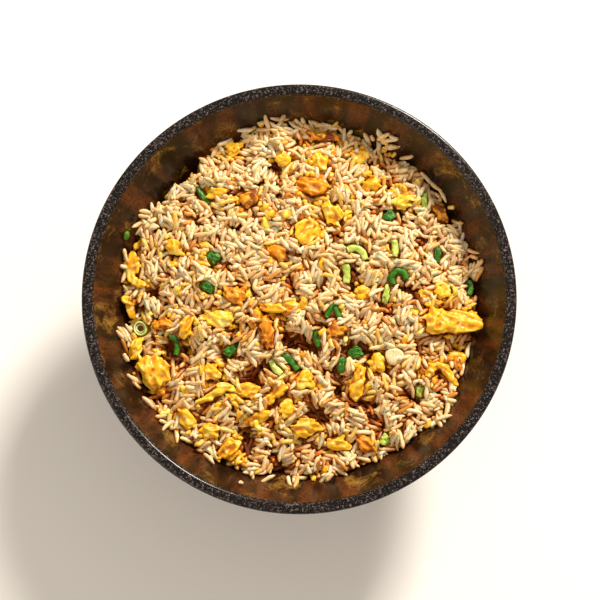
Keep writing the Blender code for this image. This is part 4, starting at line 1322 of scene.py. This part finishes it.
@dataclass
class RiceHeap:
    """The heap: a warm brown core, soy sauce and painted shade, under grains that settled one by one;
    sizes in mm.
    """

    bowl: Bowl
    half: float = 98.0
    cell: float = 0.4
    core_depth: float = 4.2
    core_step: int = 2
    grain_limit: int = 5200
    miss_limit: int = 1500
    # How far out from the axis the rice reaches, every 10 degrees from +X
    reach: tuple[float, ...] = (
        85.8, 91.2, 87.0, 89.2, 89.0, 89.0, 93.6, 88.0, 89.2, 90.2, 92.2, 89.6,
        86.8, 80.6, 84.8, 88.0, 90.2, 88.0, 86.2, 89.4, 89.8, 90.2, 88.6, 90.4,
        89.8, 86.6, 89.8, 89.0, 88.2, 84.2, 86.0, 88.2, 91.2, 88.4, 87.2, 87.6,
    )
    # Hollows between clumps, where soy sauce gathers and whose grains get painted shade: x, y, radius
    # and depth
    hollows: tuple[tuple[float, float, float, float], ...] = (
        (-16.9, -13.2, 5.0, 3.0), (-3.2, -19.6, 6.5, 5.0), (6.6, -24.0, 5.5, 5.0),
        (24.8, -25.5, 6.5, 5.0), (39.5, -28.9, 5.5, 4.5), (40.9, -35.8, 4.0, 3.0),
        (-19.4, -33.8, 5.5, 4.0), (-24.3, -39.0, 5.0, 4.5), (-34.0, -27.0, 5.5, 4.0),
        (-63.5, -24.0, 5.0, 4.0), (-55.0, -25.0, 4.5, 4.0), (-8.0, -51.5, 5.5, 4.0),
        (-43.9, -49.0, 5.5, 4.0), (8.6, -56.4, 6.5, 4.0), (-30.6, 35.8, 3.6, 4.5),
        (-71.8, 3.9, 5.0, 4.5), (52.7, 5.4, 4.5, 4.0), (70.3, 2.5, 4.5, 3.5),
        (-24.3, -66.2, 5.0, 3.5), (28.2, -51.5, 5.0, 3.5), (18.4, -44.0, 4.5, 3.5),
        (56.0, -50.0, 5.0, 3.5), (14.0, -36.0, 4.5, 3.0), (-12.0, 66.0, 4.5, 3.0),
    )
    bearings: int = 24
    tilt_limit: float = 0.75
    tilt_steps: int = 13
    # Grains let fall for each one kept, each tried beside its spot too, so many cells off
    tries: int = 3
    shifts: tuple[int, ...] = (-3, 0, 3)
    # Low places are looked up again after so many grains or misses
    grain_look: int = 60
    miss_look: int = 200
    # Least lack of height that draws a grain; one may stick out this far, or up to twice it
    least_lack: float = 0.45
    most_over: float = 0.5
    # How far a grain's tilt strays once it lies
    unrest: float = 0.2
    skin_blur: float = 1.8
    # How much of a grain's height holds up the grains on it
    firmness: float = 0.15
    # Share of a grain's footprint that lies clear; with the rest it sticks in between others
    give: float = 0.72
    # Shares of a footprint that may lie on egg or onion, and that have to lie in the heap
    on_egg: float = 0.42
    on_onion: float = 0.04
    in_heap: float = 0.55
    # Chance that a grain lies its own way, and how far others stray from their clump's way
    stray_chance: float = 0.3
    stray: float = 0.35
    shapes: tuple[GrainShape, ...] = (
        GrainShape(9.0, 2.2, 0.4, 4.0, 0.86, 0.0),
        GrainShape(9.8, 2.0, -0.6, 3.2, 0.88, 1.1),
        GrainShape(8.4, 2.4, 0.2, 5.0, 0.8, 2.0),
        GrainShape(8.8, 2.1, 0.9, 3.6, 0.9, 3.1),
        GrainShape(7.8, 2.2, -0.3, 4.5, 0.9, 4.2),
        GrainShape(10.2, 2.2, 0.7, 4.5, 0.82, 5.0),
        GrainShape(6.6, 2.2, 0.4, 5.0, 0.86, 0.6),
        GrainShape(5.0, 2.3, 0.1, 7.0, 0.86, 1.7),
        GrainShape(3.6, 2.1, 0.0, 8.0, 0.9, 2.6),
        CrumbShape(4.4, 3.2, 0.0, 2.0, 0.6, 0.3),
        CrumbShape(5.6, 3.6, 0.0, 2.0, 0.55, 1.9),
        CrumbShape(3.0, 2.3, 0.0, 2.0, 0.8, 3.3),
        CrumbShape(6.8, 4.2, 0.0, 2.2, 0.5, 4.7),
        CrumbShape(5.0, 2.8, 0.0, 2.0, 0.65, 6.1),
    )
    grain_shares: tuple[float, ...] = (18.0, 13.0, 16.0, 11.0, 13.0, 9.0, 10.0, 6.0, 4.0)
    crumb_shares: tuple[float, ...] = (5.0, 4.0, 5.0, 2.0, 4.0)
    # Chance of a crumb far from egg, what being near egg adds, and how deep crumbs lie
    crumb_chance: tuple[float, float] = (0.025, 0.3)
    crumb_depth: float = 3.0
    # How grains differ in size, and how far they roll about their length, in radians
    size_range: tuple[float, float] = (0.93, 1.07)
    roll_limit: float = 0.8

    def __post_init__(self) -> None:
        """Lay out the grid of cells."""
        self.count = int(2.0 * self.half / self.cell) + 1
        self.axis = np.linspace(-self.half, self.half, self.count)
        self.x, self.y = np.meshgrid(self.axis, self.axis, indexing="ij")
        self.radius = np.hypot(self.x, self.y)
        self.tilts = np.linspace(-self.tilt_limit, self.tilt_limit, self.tilt_steps)

    def cast(self, tree: BVHTree, coarse: int) -> np.ndarray:
        """Return the heights that a tree's faces show from above, -1 where there are none.

        Args:
            tree: Tree of faces.
            coarse: Cast at every so many cells and spread the result.

        Returns:
            Heights in mm on the grid.
        """
        heights = np.full((self.count, self.count), -1.0)
        for column in range(0, self.count, coarse):
            for row in range(0, self.count, coarse):
                if self.radius[column, row] <= self.half:
                    top = top_of(tree, self.axis[column], self.axis[row])
                    heights[column:column + coarse, row:row + coarse] = -1.0 if top is None else top
        return heights

    def smooth(self, values: np.ndarray, known: np.ndarray, reach: float) -> np.ndarray:
        """Blur known heights and spread them past their edge.

        Args:
            values: Heights on the grid.
            known: Where they hold.
            reach: Reach of the blur in mm.

        Returns:
            The blurred heights.
        """
        steps = int(3.0 * reach / self.cell)
        weights = np.exp(-0.5 * (np.arange(-steps, steps + 1) * self.cell / reach) ** 2)
        top, bottom = np.where(known, values, 0.0), known.astype(float)
        for axis in (0, 1):
            top = np.apply_along_axis(np.convolve, axis, top, weights, "same")
            bottom = np.apply_along_axis(np.convolve, axis, bottom, weights, "same")
        return top / np.maximum(bottom, 1e-9)

    def map_toppings(self, pieces: Sequence[bpy.types.Object]) -> np.ndarray:
        """Note which kind of topping lies where, and return the toppings' tops.

        Args:
            pieces: The toppings' objects.

        Returns:
            Heights in mm, -1 where there is none.
        """
        tops = np.full((self.count, self.count), -1.0)
        # 1 for egg and white onion, which grains may overlap, and 2 for spring onion
        self.kinds = np.zeros((self.count, self.count), int)
        for piece in pieces:
            tree = tree_of(piece)
            corners = np.array([vert.co[:] for vert in piece.data.vertices]) / MM
            low = ((corners.min(0) + self.half) / self.cell).astype(int)
            high = ((corners.max(0) + self.half) / self.cell).astype(int) + 2
            kind = 1 if "egg" in piece.name or "onion_slice" in piece.name else 2
            for column in range(max(0, low[0]), min(self.count, high[0])):
                for row in range(max(0, low[1]), min(self.count, high[1])):
                    top = top_of(tree, self.axis[column], self.axis[row])
                    if top is not None and top > tops[column, row]:
                        tops[column, row] = top
                        self.kinds[column, row] = kind
        return tops

    def core_mesh(self, core: np.ndarray, inside: np.ndarray) -> bpy.types.Mesh:
        """Return the core's skin as a coarse grid.

        Args:
            core: Heights of the core in mm.
            inside: Where the heap is.

        Returns:
            The mesh.
        """
        step = self.core_step
        shown = inside[::step, ::step]
        numbers = np.full(shown.shape, -1)
        numbers[shown] = np.arange(shown.sum())
        layers = (self.x, self.y, core)
        points = np.column_stack([layer[::step, ::step][shown] for layer in layers]) * MM
        around = (numbers[:-1, :-1], numbers[1:, :-1], numbers[1:, 1:], numbers[:-1, 1:])
        whole = np.all([corner >= 0 for corner in around], axis=0)
        faces = np.column_stack([corner[whole] for corner in around])
        return mesh_from_arrays("rice_core", points, faces)

    def choose(self, column: int, row: int, draw: random.Random) -> tuple[int, int]:
        """Choose a shape and a bearing for the next grain.

        Args:
            column: Column of the cell that it falls on.
            row: Row of that cell.
            draw: Source of chance.

        Returns:
            The numbers of its shape and its bearing.
        """
        chance = self.crumb_chance[0] + self.crumb_chance[1] * self.near_egg[column, row]
        gap = self.target[column, row] - self.level[column, row]
        if gap < self.crumb_depth and draw.random() < chance:
            shape = draw.choices(range(len(self.crumb_shares)), self.crumb_shares)[0]
            shape += len(self.grain_shares)
        else:
            shape = draw.choices(range(len(self.grain_shares)), self.grain_shares)[0]
        if draw.random() < self.stray_chance:
            return shape, draw.randrange(self.bearings)
        lie = self.lie[column, row] + draw.gauss(0.0, self.stray)
        lie += math.pi * draw.randrange(2)
        return shape, int(round(lie / math.tau * self.bearings)) % self.bearings

    def land(
        self, shape: int, bearing: int, column: int, row: int, footprint: tuple[np.ndarray, ...]
    ) -> Landing | None:
        """Work out how a grain comes to rest over a cell.

        Args:
            shape: Number of its shape.
            bearing: Number of its bearing.
            column: Column of the cell under its middle.
            row: Row of that cell.
            footprint: The cells that it covers, as GrainShape.footprint gives them.

        Returns:
            How it rests, or None where it may not lie.
        """
        across, aside, along, half = footprint
        cells = column + across, row + aside
        if min(cells[0].min(), cells[1].min()) < 0:
            return None
        if max(cells[0].max(), cells[1].max()) >= self.count:
            return None
        below = self.kinds[cells]
        if (below == 2).mean() > self.on_onion or (below == 1).mean() > self.on_egg:
            return None
        if not self.inside[cells].mean() > self.in_heap:
            return None
        lift = self.level[cells] + half
        held = int(self.give * len(lift))
        rests = lift[None, :] - self.tilts[:, None] * along[None, :]
        rests = np.partition(rests, held, 1)[:, held]
        choice = int(rests.argmin())
        rest = float(rests[choice])
        over = rest - self.target[column, row]
        tilt = float(self.tilts[choice])
        return Landing(over, shape, bearing, column, row, rest, tilt, cells, along, half)

    def try_out(
        self, spots: np.ndarray, footprints: Sequence[tuple[np.ndarray, ...]], draw: random.Random
    ) -> Landing | None:
        """Let a few grains fall and keep the one that comes to rest lowest.

        Args:
            spots: Numbers of the cells where the heap is still too low.
            footprints: Footprints of every shape at every bearing.
            draw: Source of chance.

        Returns:
            How the lowest one rests, or None where none may lie.
        """
        best = None
        for _ in range(self.tries):
            column, row = divmod(int(spots[draw.randrange(len(spots))]), self.count)
            shape, bearing = self.choose(column, row, draw)
            footprint = footprints[shape * self.bearings + bearing]
            step_x = -math.sin(math.tau * bearing / self.bearings)
            step_y = math.cos(math.tau * bearing / self.bearings)
            for shift in self.shifts:
                middle = column + int(round(shift * step_x)), row + int(round(shift * step_y))
                landing = self.land(shape, bearing, *middle, footprint)
                if landing and (best is None or landing.over < best.over):
                    best = landing
        return best

    def settle(self, ground: np.ndarray) -> list[tuple[int, int, tuple[float, ...], float]]:
        """Let grains settle until the heap reaches its height.

        Args:
            ground: Heights that the first grains lie on.

        Returns:
            Shape number, bearing number, place and tilt of each grain.
        """
        draw = random.Random(SEED)
        footprints = [
            shape.footprint(math.tau * step / self.bearings, self.cell)
            for shape in self.shapes for step in range(self.bearings)
        ]
        self.level = ground.copy()
        grains = []
        misses = 0
        spots = np.empty(0, int)
        while len(grains) < self.grain_limit and misses < self.miss_limit:
            stuck = misses % self.miss_look == self.miss_look - 1
            if len(grains) % self.grain_look == 0 or not len(spots) or stuck:
                lack = (self.target - self.level) * self.inside
                spots = np.flatnonzero((lack > self.least_lack) & (self.kinds == 0))
                misses += 1
                if not len(spots):
                    break
            best = self.try_out(spots, footprints, draw)
            if best is None or best.over > self.most_over * (1.0 + draw.random()):
                misses += 1
                continue
            top = best.height + best.tilt * best.along + self.firmness * best.half
            self.level[best.cells] = np.maximum(self.level[best.cells], top)
            place = float(self.axis[best.column]), float(self.axis[best.row]), best.height
            tilt = best.tilt + draw.gauss(0.0, self.unrest)
            grains.append((best.shape, best.bearing, place, tilt))
        self.skin = self.smooth(self.level, self.inside, self.skin_blur)
        return grains

    def edge(self) -> np.ndarray:
        """Return how far out the rice reaches at the bearing of each cell."""
        bearings = np.degrees(np.arctan2(self.y, self.x)) % 360.0
        known = np.array([*self.reach, self.reach[0]])
        return np.interp(bearings, np.arange(len(known)) * 360.0 / len(self.reach), known)

    def coarse_map(self, coarse: int, depth: float, value: Callable[[Vector], float]) -> np.ndarray:
        """Work out a value at every so many cells, and spread it over the grid.

        Args:
            coarse: Number of cells from one to the next.
            depth: Third coordinate of the places.
            value: Gives the value at a place in mm.

        Returns:
            The values on the grid.
        """
        small = np.zeros((self.count // coarse + 2,) * 2)
        for column, row in np.ndindex(small.shape):
            place = Vector((column * coarse * self.cell, row * coarse * self.cell, depth))
            small[column, row] = value(place)
        return np.repeat(np.repeat(small, coarse, 0), coarse, 1)[:self.count, :self.count]

    def clump(self, place: Vector) -> float:
        """Return how far the clump at a place stands up or sinks in, in mm."""
        hollow = max(0.0, noise.noise(place / 6.4 + Vector((7.0, 0.0, 0.0))) - 0.2)
        return 2.8 * noise.noise(place / 9.0) + 1.6 * noise.noise(place / 4.4) + 0.5 - 8.0 * hollow

    def clumps(self) -> np.ndarray:
        """Return how far each clump of rice stands up or sinks in, in mm.

        Returns:
            The heights on the grid, with the hollows.
        """
        spread = self.coarse_map(5, 10.0, self.clump)
        heights = self.smooth(spread, np.ones_like(spread, bool), 0.8)
        for x, y, radius, depth in self.hollows:
            away = np.hypot(self.x - x, (self.y - y) * 1.3) / radius
            heights -= 1.5 * depth * np.clip(1.25 - away, 0.0, 1.0) ** 0.8
        return heights

    def place(
        self, points: np.ndarray, bearing: int, spot: tuple[float, ...], tilt: float, roll: float
    ) -> np.ndarray:
        """Turn a grain's points to where it settled.

        Args:
            points: The shape's points in mm.
            bearing: Number of its bearing.
            spot: Its middle in mm.
            tilt: Rise along its length.
            roll: Turn about its length in radians.

        Returns:
            The points in metres.
        """
        turn = Matrix.Rotation(math.tau * bearing / self.bearings, 3, "Z")
        lean = Matrix.Rotation(-math.atan(tilt), 3, "Y")
        whole = np.array(turn @ lean @ Matrix.Rotation(roll, 3, "X"))
        return (points @ whole.T + np.array(spot)) * MM

    def sort(
        self, shape: int, stands: float, soak_and_shade: float, egg: float, draw: random.Random
    ) -> RiceSort | CrumbSort:
        """Choose which sort a grain or crumb belongs to.

        Args:
            shape: Number of its shape.
            stands: How far its clump stands over its surroundings, in mm.
            soak_and_shade: How much soy sauce reached this place, with painted shade added towards
                the front.
            egg: How near egg is, 0 to 1.
            draw: Source of chance.

        Returns:
            The sort.
        """
        if shape >= len(self.grain_shares):
            return draw.choices(list(CrumbSort), [sort.value.share for sort in CrumbSort])[0]
        shares = {sort: sort.value.share for sort in RiceSort}
        # Pale grains on raised clumps and browned ones in sunken clumps and towards the front:
        # painted shade, with soy sauce brown
        shares[RiceSort.PALE] *= max(0.12, 1.0 + 0.9 * stands - 1.0 * soak_and_shade - 0.6 * egg)
        shares[RiceSort.COATED] += 0.5 * egg
        shares[RiceSort.BROWNED] *= max(0.15, 1.0 + 3.0 * soak_and_shade - 1.0 * stands)
        return draw.choices(list(shares), list(shares.values()))[0]

    def grain_meshes(
        self, grains: Sequence[tuple[int, int, tuple[float, ...], float]]
    ) -> list[tuple[Sort, bpy.types.Mesh]]:
        """Join the grains and crumbs into one mesh for each sort.

        Args:
            grains: Shape number, bearing number, place and tilt of each grain.

        Returns:
            Each sort with its mesh.
        """
        draw = random.Random(SEED + 1)
        solids = [shape.solid() for shape in self.shapes]
        sets: dict[RiceSort | CrumbSort, list[tuple[np.ndarray, ...]]] = {}
        for shape, bearing, spot, tilt in grains:
            # The sauce lies in patches 17 mm wide; towards the front of the bowl painted shade is
            # added to it, which browns the grains there
            front = -spot[1] / self.half
            soak_and_shade = noise.noise(Vector((spot[0], spot[1], 9.0)) / 17.0) + 0.6 * front
            cell = tuple(int((spot[axis] + self.half) / self.cell) for axis in (0, 1))
            stands = float(self.stands[cell])
            sort = self.sort(shape, stands, soak_and_shade, float(self.near_egg[cell]), draw)
            points, faces, along = solids[shape]
            size = draw.uniform(*self.size_range)
            roll = draw.uniform(-self.roll_limit, self.roll_limit)
            placed = self.place(points * size, bearing, spot, tilt, roll)
            under = ((placed[:, :2] / MM + self.half) / self.cell).astype(int)
            under = np.clip(under, 0, self.count - 1)
            sunk = self.skin[under[:, 0], under[:, 1]] - placed[:, 2] / MM
            tones = np.empty((len(points), 3))
            # For crumbs, how far each point stands out: the egg finish paints their folds orange as
            # painted shade
            tones[:, 0] = along if shape >= len(self.grain_shares) else draw.random()
            # Painted shade, with soy sauce brown: darkest 3 mm under the heap's skin, in sunken
            # clumps and towards the front
            tones[:, 1] = (sunk + 0.2) / 3.2 - 0.4 * stands + 0.26 * front
            tones[:, 2] = along
            sets.setdefault(sort, []).append((placed, faces, tones))
        meshes = []
        for sort in sorted(sets, key=lambda key: key.name):
            points, faces, tones = zip(*sets[sort])
            firsts = np.cumsum([0, *map(len, points[:-1])])
            faces = np.vstack([rows + first for rows, first in zip(faces, firsts)])
            mesh = mesh_from_arrays(sort.name.lower(), np.vstack(points), faces, np.vstack(tones))
            meshes.append((sort.value, mesh))
        return meshes

    def build(self, rice: BVHTree, toppings: Sequence[bpy.types.Object]) -> list[bpy.types.Object]:
        """Build the core and the grains.

        Args:
            rice: Tree of the CAD heap's faces.
            toppings: Pieces that the grains keep clear of.

        Returns:
            The heap's pieces.
        """
        shown = self.cast(rice, 2)
        solid = shown > 0.0
        self.inside = self.radius < self.edge()
        wall = self.bowl.wall_height(self.radius)
        self.stands = self.clumps()
        self.target = np.maximum(self.smooth(shown, solid, 1.3), wall + 1.2) + self.stands
        tops = self.map_toppings(toppings)
        egg = (self.kinds == 1).astype(float)
        everywhere = np.ones_like(solid)
        self.near_egg = np.clip(self.smooth(egg, everywhere, 4.0) * 2.0, 0.0, 1.0)
        # The way that the grains of each clump tend to lie, in radians
        self.lie = self.coarse_map(12, 3.0, lambda place: 3.0 * math.pi * noise.noise(place / 13.0))
        # The core comes up to the target under egg, and stays under the CAD heap's top there
        raised = np.clip(1.6 * self.smooth(egg, everywhere, 1.0) - 0.6, 0, 1)
        core = self.target - self.core_depth + (self.core_depth - 0.5) * raised
        low = np.minimum(core, np.where(solid, shown, self.bowl.height) - 0.5)
        core = np.where(self.kinds > 0, low, core)
        showing = (self.radius < self.edge() - 1.0) & (core > wall - 1.5)
        mesh = self.core_mesh(core, showing)
        # Packed under the grains: a warm brown between them, never black, that is soy sauce and
        # painted shade
        finish = SoyAndShadeRice("cooked_rice_packed_soy_soaked", 0.5, 1.45, 0.2, 0.2)
        pieces = [put("rice_core", mesh, finish, ["rice"])]
        grains = self.settle(np.maximum(np.maximum(core, tops), wall + 0.15))
        LOG.info("%d grains and crumbs", len(grains))
        for sort, joined in self.grain_meshes(grains):
            pieces.append(put(sort.piece, joined, sort.finish))
        return pieces


# Studio


@dataclass
class Studio:
    """Pale floor, soft window light from beyond the bowl, and the camera; in metres."""

    camera_distance: float = 0.8
    camera_lean_deg: float = 9.0
    frame_width: float = 0.289
    sensor_mm: float = 36.0
    aim_shift: tuple[float, float] = (0.00038, -0.0026)
    floor_reach: float = 3.0
    sky_tint: str = "fff2e0"
    sky_strength: float = 0.5
    # Square lamps: name, place, side, watts and tint
    lamps: tuple[tuple[str, tuple[float, float, float], float, float, str], ...] = (
        ("window", (0.72, 1.3, 1.1), 0.4, 51.0, "fff7ea"),
        ("reflector", (-1.1, -0.9, 0.9), 1.4, 7.0, "fff4e8"),
    )

    def hang(self, name: str, data: Any, place: Vector, aim: Vector) -> bpy.types.Object:
        """Add a lamp or the camera, turned to face a place.

        Args:
            name: The object's name.
            data: The lamp's or camera's data.
            place: Where it is.
            aim: What it faces.

        Returns:
            The object.
        """
        thing = bpy.data.objects.new(name, data)
        thing.location = place
        thing.rotation_euler = (aim - thing.location).to_track_quat("-Z", "Y").to_euler()
        bpy.context.scene.collection.objects.link(thing)
        return thing

    def lay_floor(self) -> None:
        """Lay the floor."""
        mesh = bpy.data.meshes.new("floor")
        far = self.floor_reach
        corners = [(-far, -far, 0.0), (far, -far, 0.0), (far, far, 0.0), (-far, far, 0.0)]
        mesh.from_pydata(corners, [], [(0, 1, 2, 3)])
        floor = bpy.data.objects.new("floor", mesh)
        bpy.context.scene.collection.objects.link(floor)
        mesh.materials.append(Paper("white_paper_matt", 0.9, 1.5, shine=0.1).material())

    def light(self) -> None:
        """Hang the lamps over the bowl, and fill the room with even light."""
        for name, place, size, power, tint in self.lamps:
            light = bpy.data.lights.new(name, "AREA")
            light.shape = "SQUARE"
            light.size = size
            light.energy = power
            light.color = linear(tint)[:3]
            self.hang(name, light, Vector(place), Vector((0.0, 0.0, 0.06)))
        world = bpy.data.worlds.new("room")
        bpy.context.scene.world = world
        world.use_nodes = True
        back = world.node_tree.nodes["Background"]
        back.inputs["Color"].default_value = linear(self.sky_tint)
        back.inputs["Strength"].default_value = self.sky_strength

    def set_camera(self) -> None:
        """Set the camera over the bowl, leaning to the diner's side."""
        data = bpy.data.cameras.new("camera")
        data.sensor_width = self.sensor_mm
        data.lens = self.sensor_mm * self.camera_distance / self.frame_width
        data.clip_end = 20.0
        lean = math.radians(self.camera_lean_deg)
        rim = Vector((0.0, 0.0, 0.08))
        back = Vector((0.0, -math.sin(lean), math.cos(lean)))
        up = Vector((0.0, math.cos(lean), math.sin(lean)))
        aim = rim + Vector((self.aim_shift[0], 0.0, 0.0)) + up * self.aim_shift[1]
        place = rim + back * self.camera_distance
        bpy.context.scene.camera = self.hang("camera", data, place, aim)

    def build(self) -> None:
        """Set up the studio."""
        bpy.context.scene.view_settings.view_transform = "Standard"
        self.lay_floor()
        self.light()
        self.set_camera()


def main() -> None:
    """Build every piece, then note the sizes."""
    logging.basicConfig(level=logging.INFO, format="%(message)s")
    rice = tree_of(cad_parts["rice"])
    bowl = Bowl()
    bowl.build()
    toppings = EggCurds().build()
    toppings += SpringOnions().build()
    toppings += SmallBits().build(rice)
    toppings += RoundedNodes().build()
    heap = RiceHeap(bowl).build(rice, toppings)
    LOG.info("%d toppings, %d heap pieces", len(toppings), len(heap))
    Studio().build()
    bpy.context.view_layer.update()


if __name__ == "__main__":
    main()
